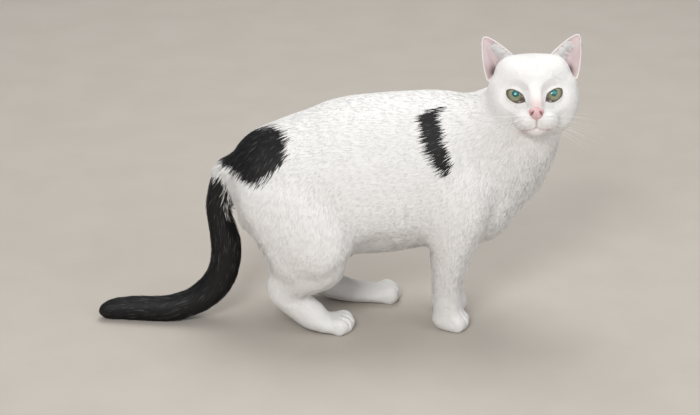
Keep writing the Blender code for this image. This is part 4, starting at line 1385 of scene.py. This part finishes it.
def nose(material):
    """Nose leather, broad above and narrow below, with a groove down its middle and comma-shaped nostrils."""
    bm = bmesh.new()
    bmesh.ops.create_icosphere(bm, subdivisions=5, radius=1)
    mesh = mesh_of(bm, "nose_leather")
    at = places(mesh)
    x, y, z = at.T
    narrow = 1 + 0.34 * z - 0.12 * z * z
    shape = np.stack([x * narrow * NOSE_SIZE[0], y * NOSE_SIZE[1], z * NOSE_SIZE[2]], 1)
    front = ease(0.1, -0.3, y)
    out, up = np.abs(shape[:, 0]), shape[:, 2]
    groove = np.exp(-((shape[:, 0] / GROOVE_WIDE) ** 2)) * ease(0.0030, -0.0010, up) * front
    fx, fz = out - NOSTRIL_AT[0], up - NOSTRIL_AT[1]
    turn_cos, turn_sin = math.cos(NOSTRIL_LEAN), math.sin(NOSTRIL_LEAN)
    lean = fx * turn_cos + fz * turn_sin, -fx * turn_sin + fz * turn_cos
    hollow = np.exp(-((lean[0] / NOSTRIL_SIZE[0]) ** 2) - (lean[1] / NOSTRIL_SIZE[1]) ** 2) * front
    slit = -(((out - SLIT_AT[0]) / SLIT_SIZE[0]) ** 2) - ((up - SLIT_AT[1]) / SLIT_SIZE[1]) ** 2
    slit = np.exp(slit) * front
    wing = np.exp(-((out - WING_AT[0]) ** 2 + (up - WING_AT[1]) ** 2) / WING_SIZE**2) * front
    shape[:, 1] += NOSTRIL_DEEP * np.maximum(hollow, 0.6 * slit) + GROOVE_DEEP * groove - WING_FULL * wing
    # Painted shade, darkest in the nostrils and a little less in the slits beside them
    note(mesh, "hollow_shade", np.clip(1.15 * np.maximum(hollow, 0.7 * slit) ** 0.8, 0, 1))
    # Darker towards the leather's sides, and in the groove as painted shade
    note(mesh, "edge", np.clip(ease(0.0040, 0.0068, out) * 0.7 + groove * 0.5, 0, 1))
    put(mesh, out_of(NOSE @ Matrix.Rotation(NOSE_TILT, 4, "X"), shape))
    piece = shown("nose_leather", mesh, material)
    mesh.shade_smooth()
    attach(piece, "root")
    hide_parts("nose")


WHISKER_THICK = 0.00012
WHISKER_END = 0.00001


def whisker_starts():
    """Each whisker's place across and up the face, the way it points, and its length."""
    for row in range(4):
        for k in range(3 if row % 2 else 4):
            place = (0.0070 + 0.0032 * k, -0.0245 - 0.0030 * row)
            yield place, (1.0, 0.02 + 0.13 * k, 0.10 - 0.17 * row), 0.056 - 0.005 * k
    for k in range(3):
        yield (0.0150 + 0.0022 * k, 0.0135), (0.45 + 0.2 * k, 0.05, 1.0), 0.028


def whiskers(material, skin):
    """Rows of long stiff hairs from both pads, and a few over each eye, thinning to their tips."""
    tree = tree_over(skin)
    strands = []
    for side in (-1, 1):
        for (x, z), way, long in whisker_starts():
            begin = HEAD @ Vector((side * x, -0.08, z))
            hit = tree.ray_cast(begin, HEAD.to_3x3() @ Vector((0, 1, 0)))[0]
            if hit is None:
                continue
            way = (HEAD.to_3x3() @ mirrored(way, side)).normalized()
            way += Vector(draw.normal(0, 0.05, 3))
            droop = draw.uniform(0.10, 0.30)
            strand = []
            for t in np.linspace(0, 1, 9):
                point = hit + way * long * t - Vector((0, 0, 1)) * long * droop * t * t
                strand.append((point, WHISKER_THICK * (1 - 0.85 * t) + WHISKER_END))
            strands.append(strand)
    tubes("whiskers", strands, material)


# The stage

# Each lamp's place, what it is aimed at, its size, power and colour
LAMPS = {
    "key": ((-0.5, -2.0, 1.7), (0.0, 0.0, 0.12), 0.8, 31, (1.0, 0.99, 0.975)),
    "fill": ((1.9, -1.2, 1.2), (0.1, 0.0, 0.12), 1.6, 12, (0.95, 0.97, 1.0)),
    "top": ((0.1, 0.7, 2.2), (0.0, 0.0, 0.12), 1.6, 24, (1.0, 0.99, 0.975)),
}
ROOM_LIGHT = (0.78, 0.78, 0.79, 1)
ROOM_STRENGTH = 0.52
FLOOR_HALF = 6
SENSOR = 36


def stage():
    """The pale floor, the lamps and the camera."""
    bm = bmesh.new()
    bmesh.ops.create_grid(bm, x_segments=1, y_segments=1, size=FLOOR_HALF)
    floor = shown("floor", mesh_of(bm, "floor"), floor_finish())
    for name, (at, aim, size, power, colour) in LAMPS.items():
        lamp = bpy.data.lights.new(name, "AREA")
        lamp.shape, lamp.size, lamp.energy, lamp.color = "DISK", size, power, colour
        obj = bpy.data.objects.new(name, lamp)
        bpy.context.scene.collection.objects.link(obj)
        obj.location = at
        obj.rotation_euler = (Vector(aim) - Vector(at)).to_track_quat("-Z", "Y").to_euler()
    world = bpy.data.worlds.new("studio")
    world.use_nodes = True
    background = world.node_tree.nodes["Background"].inputs
    background["Color"].default_value = ROOM_LIGHT
    background["Strength"].default_value = ROOM_STRENGTH
    bpy.context.scene.world = world
    bpy.context.scene.view_settings.view_transform = "Standard"
    lens = bpy.data.cameras.new("camera")
    lens.sensor_width, lens.lens = SENSOR, SENSOR * LENS / (2 * PICTURE_MIDDLE[0])
    camera = bpy.data.objects.new("camera", lens)
    camera.location = Vector(CAMERA_AT) + Vector(SHIFT)
    camera.rotation_euler = (math.pi / 2 - CAMERA_DOWN, 0, 0)
    bpy.context.scene.collection.objects.link(camera)
    bpy.context.scene.camera = camera


skin = finished_skin()
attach(skin, "root")
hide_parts(*(name for name in NODES if name not in ("eye_right", "eye_left", "nose")))
white_coat = white_coat_finish()
coat(skin, white_coat, black_coat_finish())
ear_wisps(white_coat, skin)
iris = eye_finish()
for side in (-1, 1):
    eye(side, iris)
lid_rims(plain_finish("lid_edge", (0.11, 0.075, 0.065), Roughness=0.35, Coat_Weight=0.4), skin)
nose(nose_finish())
whiskers(plain_finish("whisker", (0.93, 0.92, 0.90), Roughness=0.35), skin)
stage()
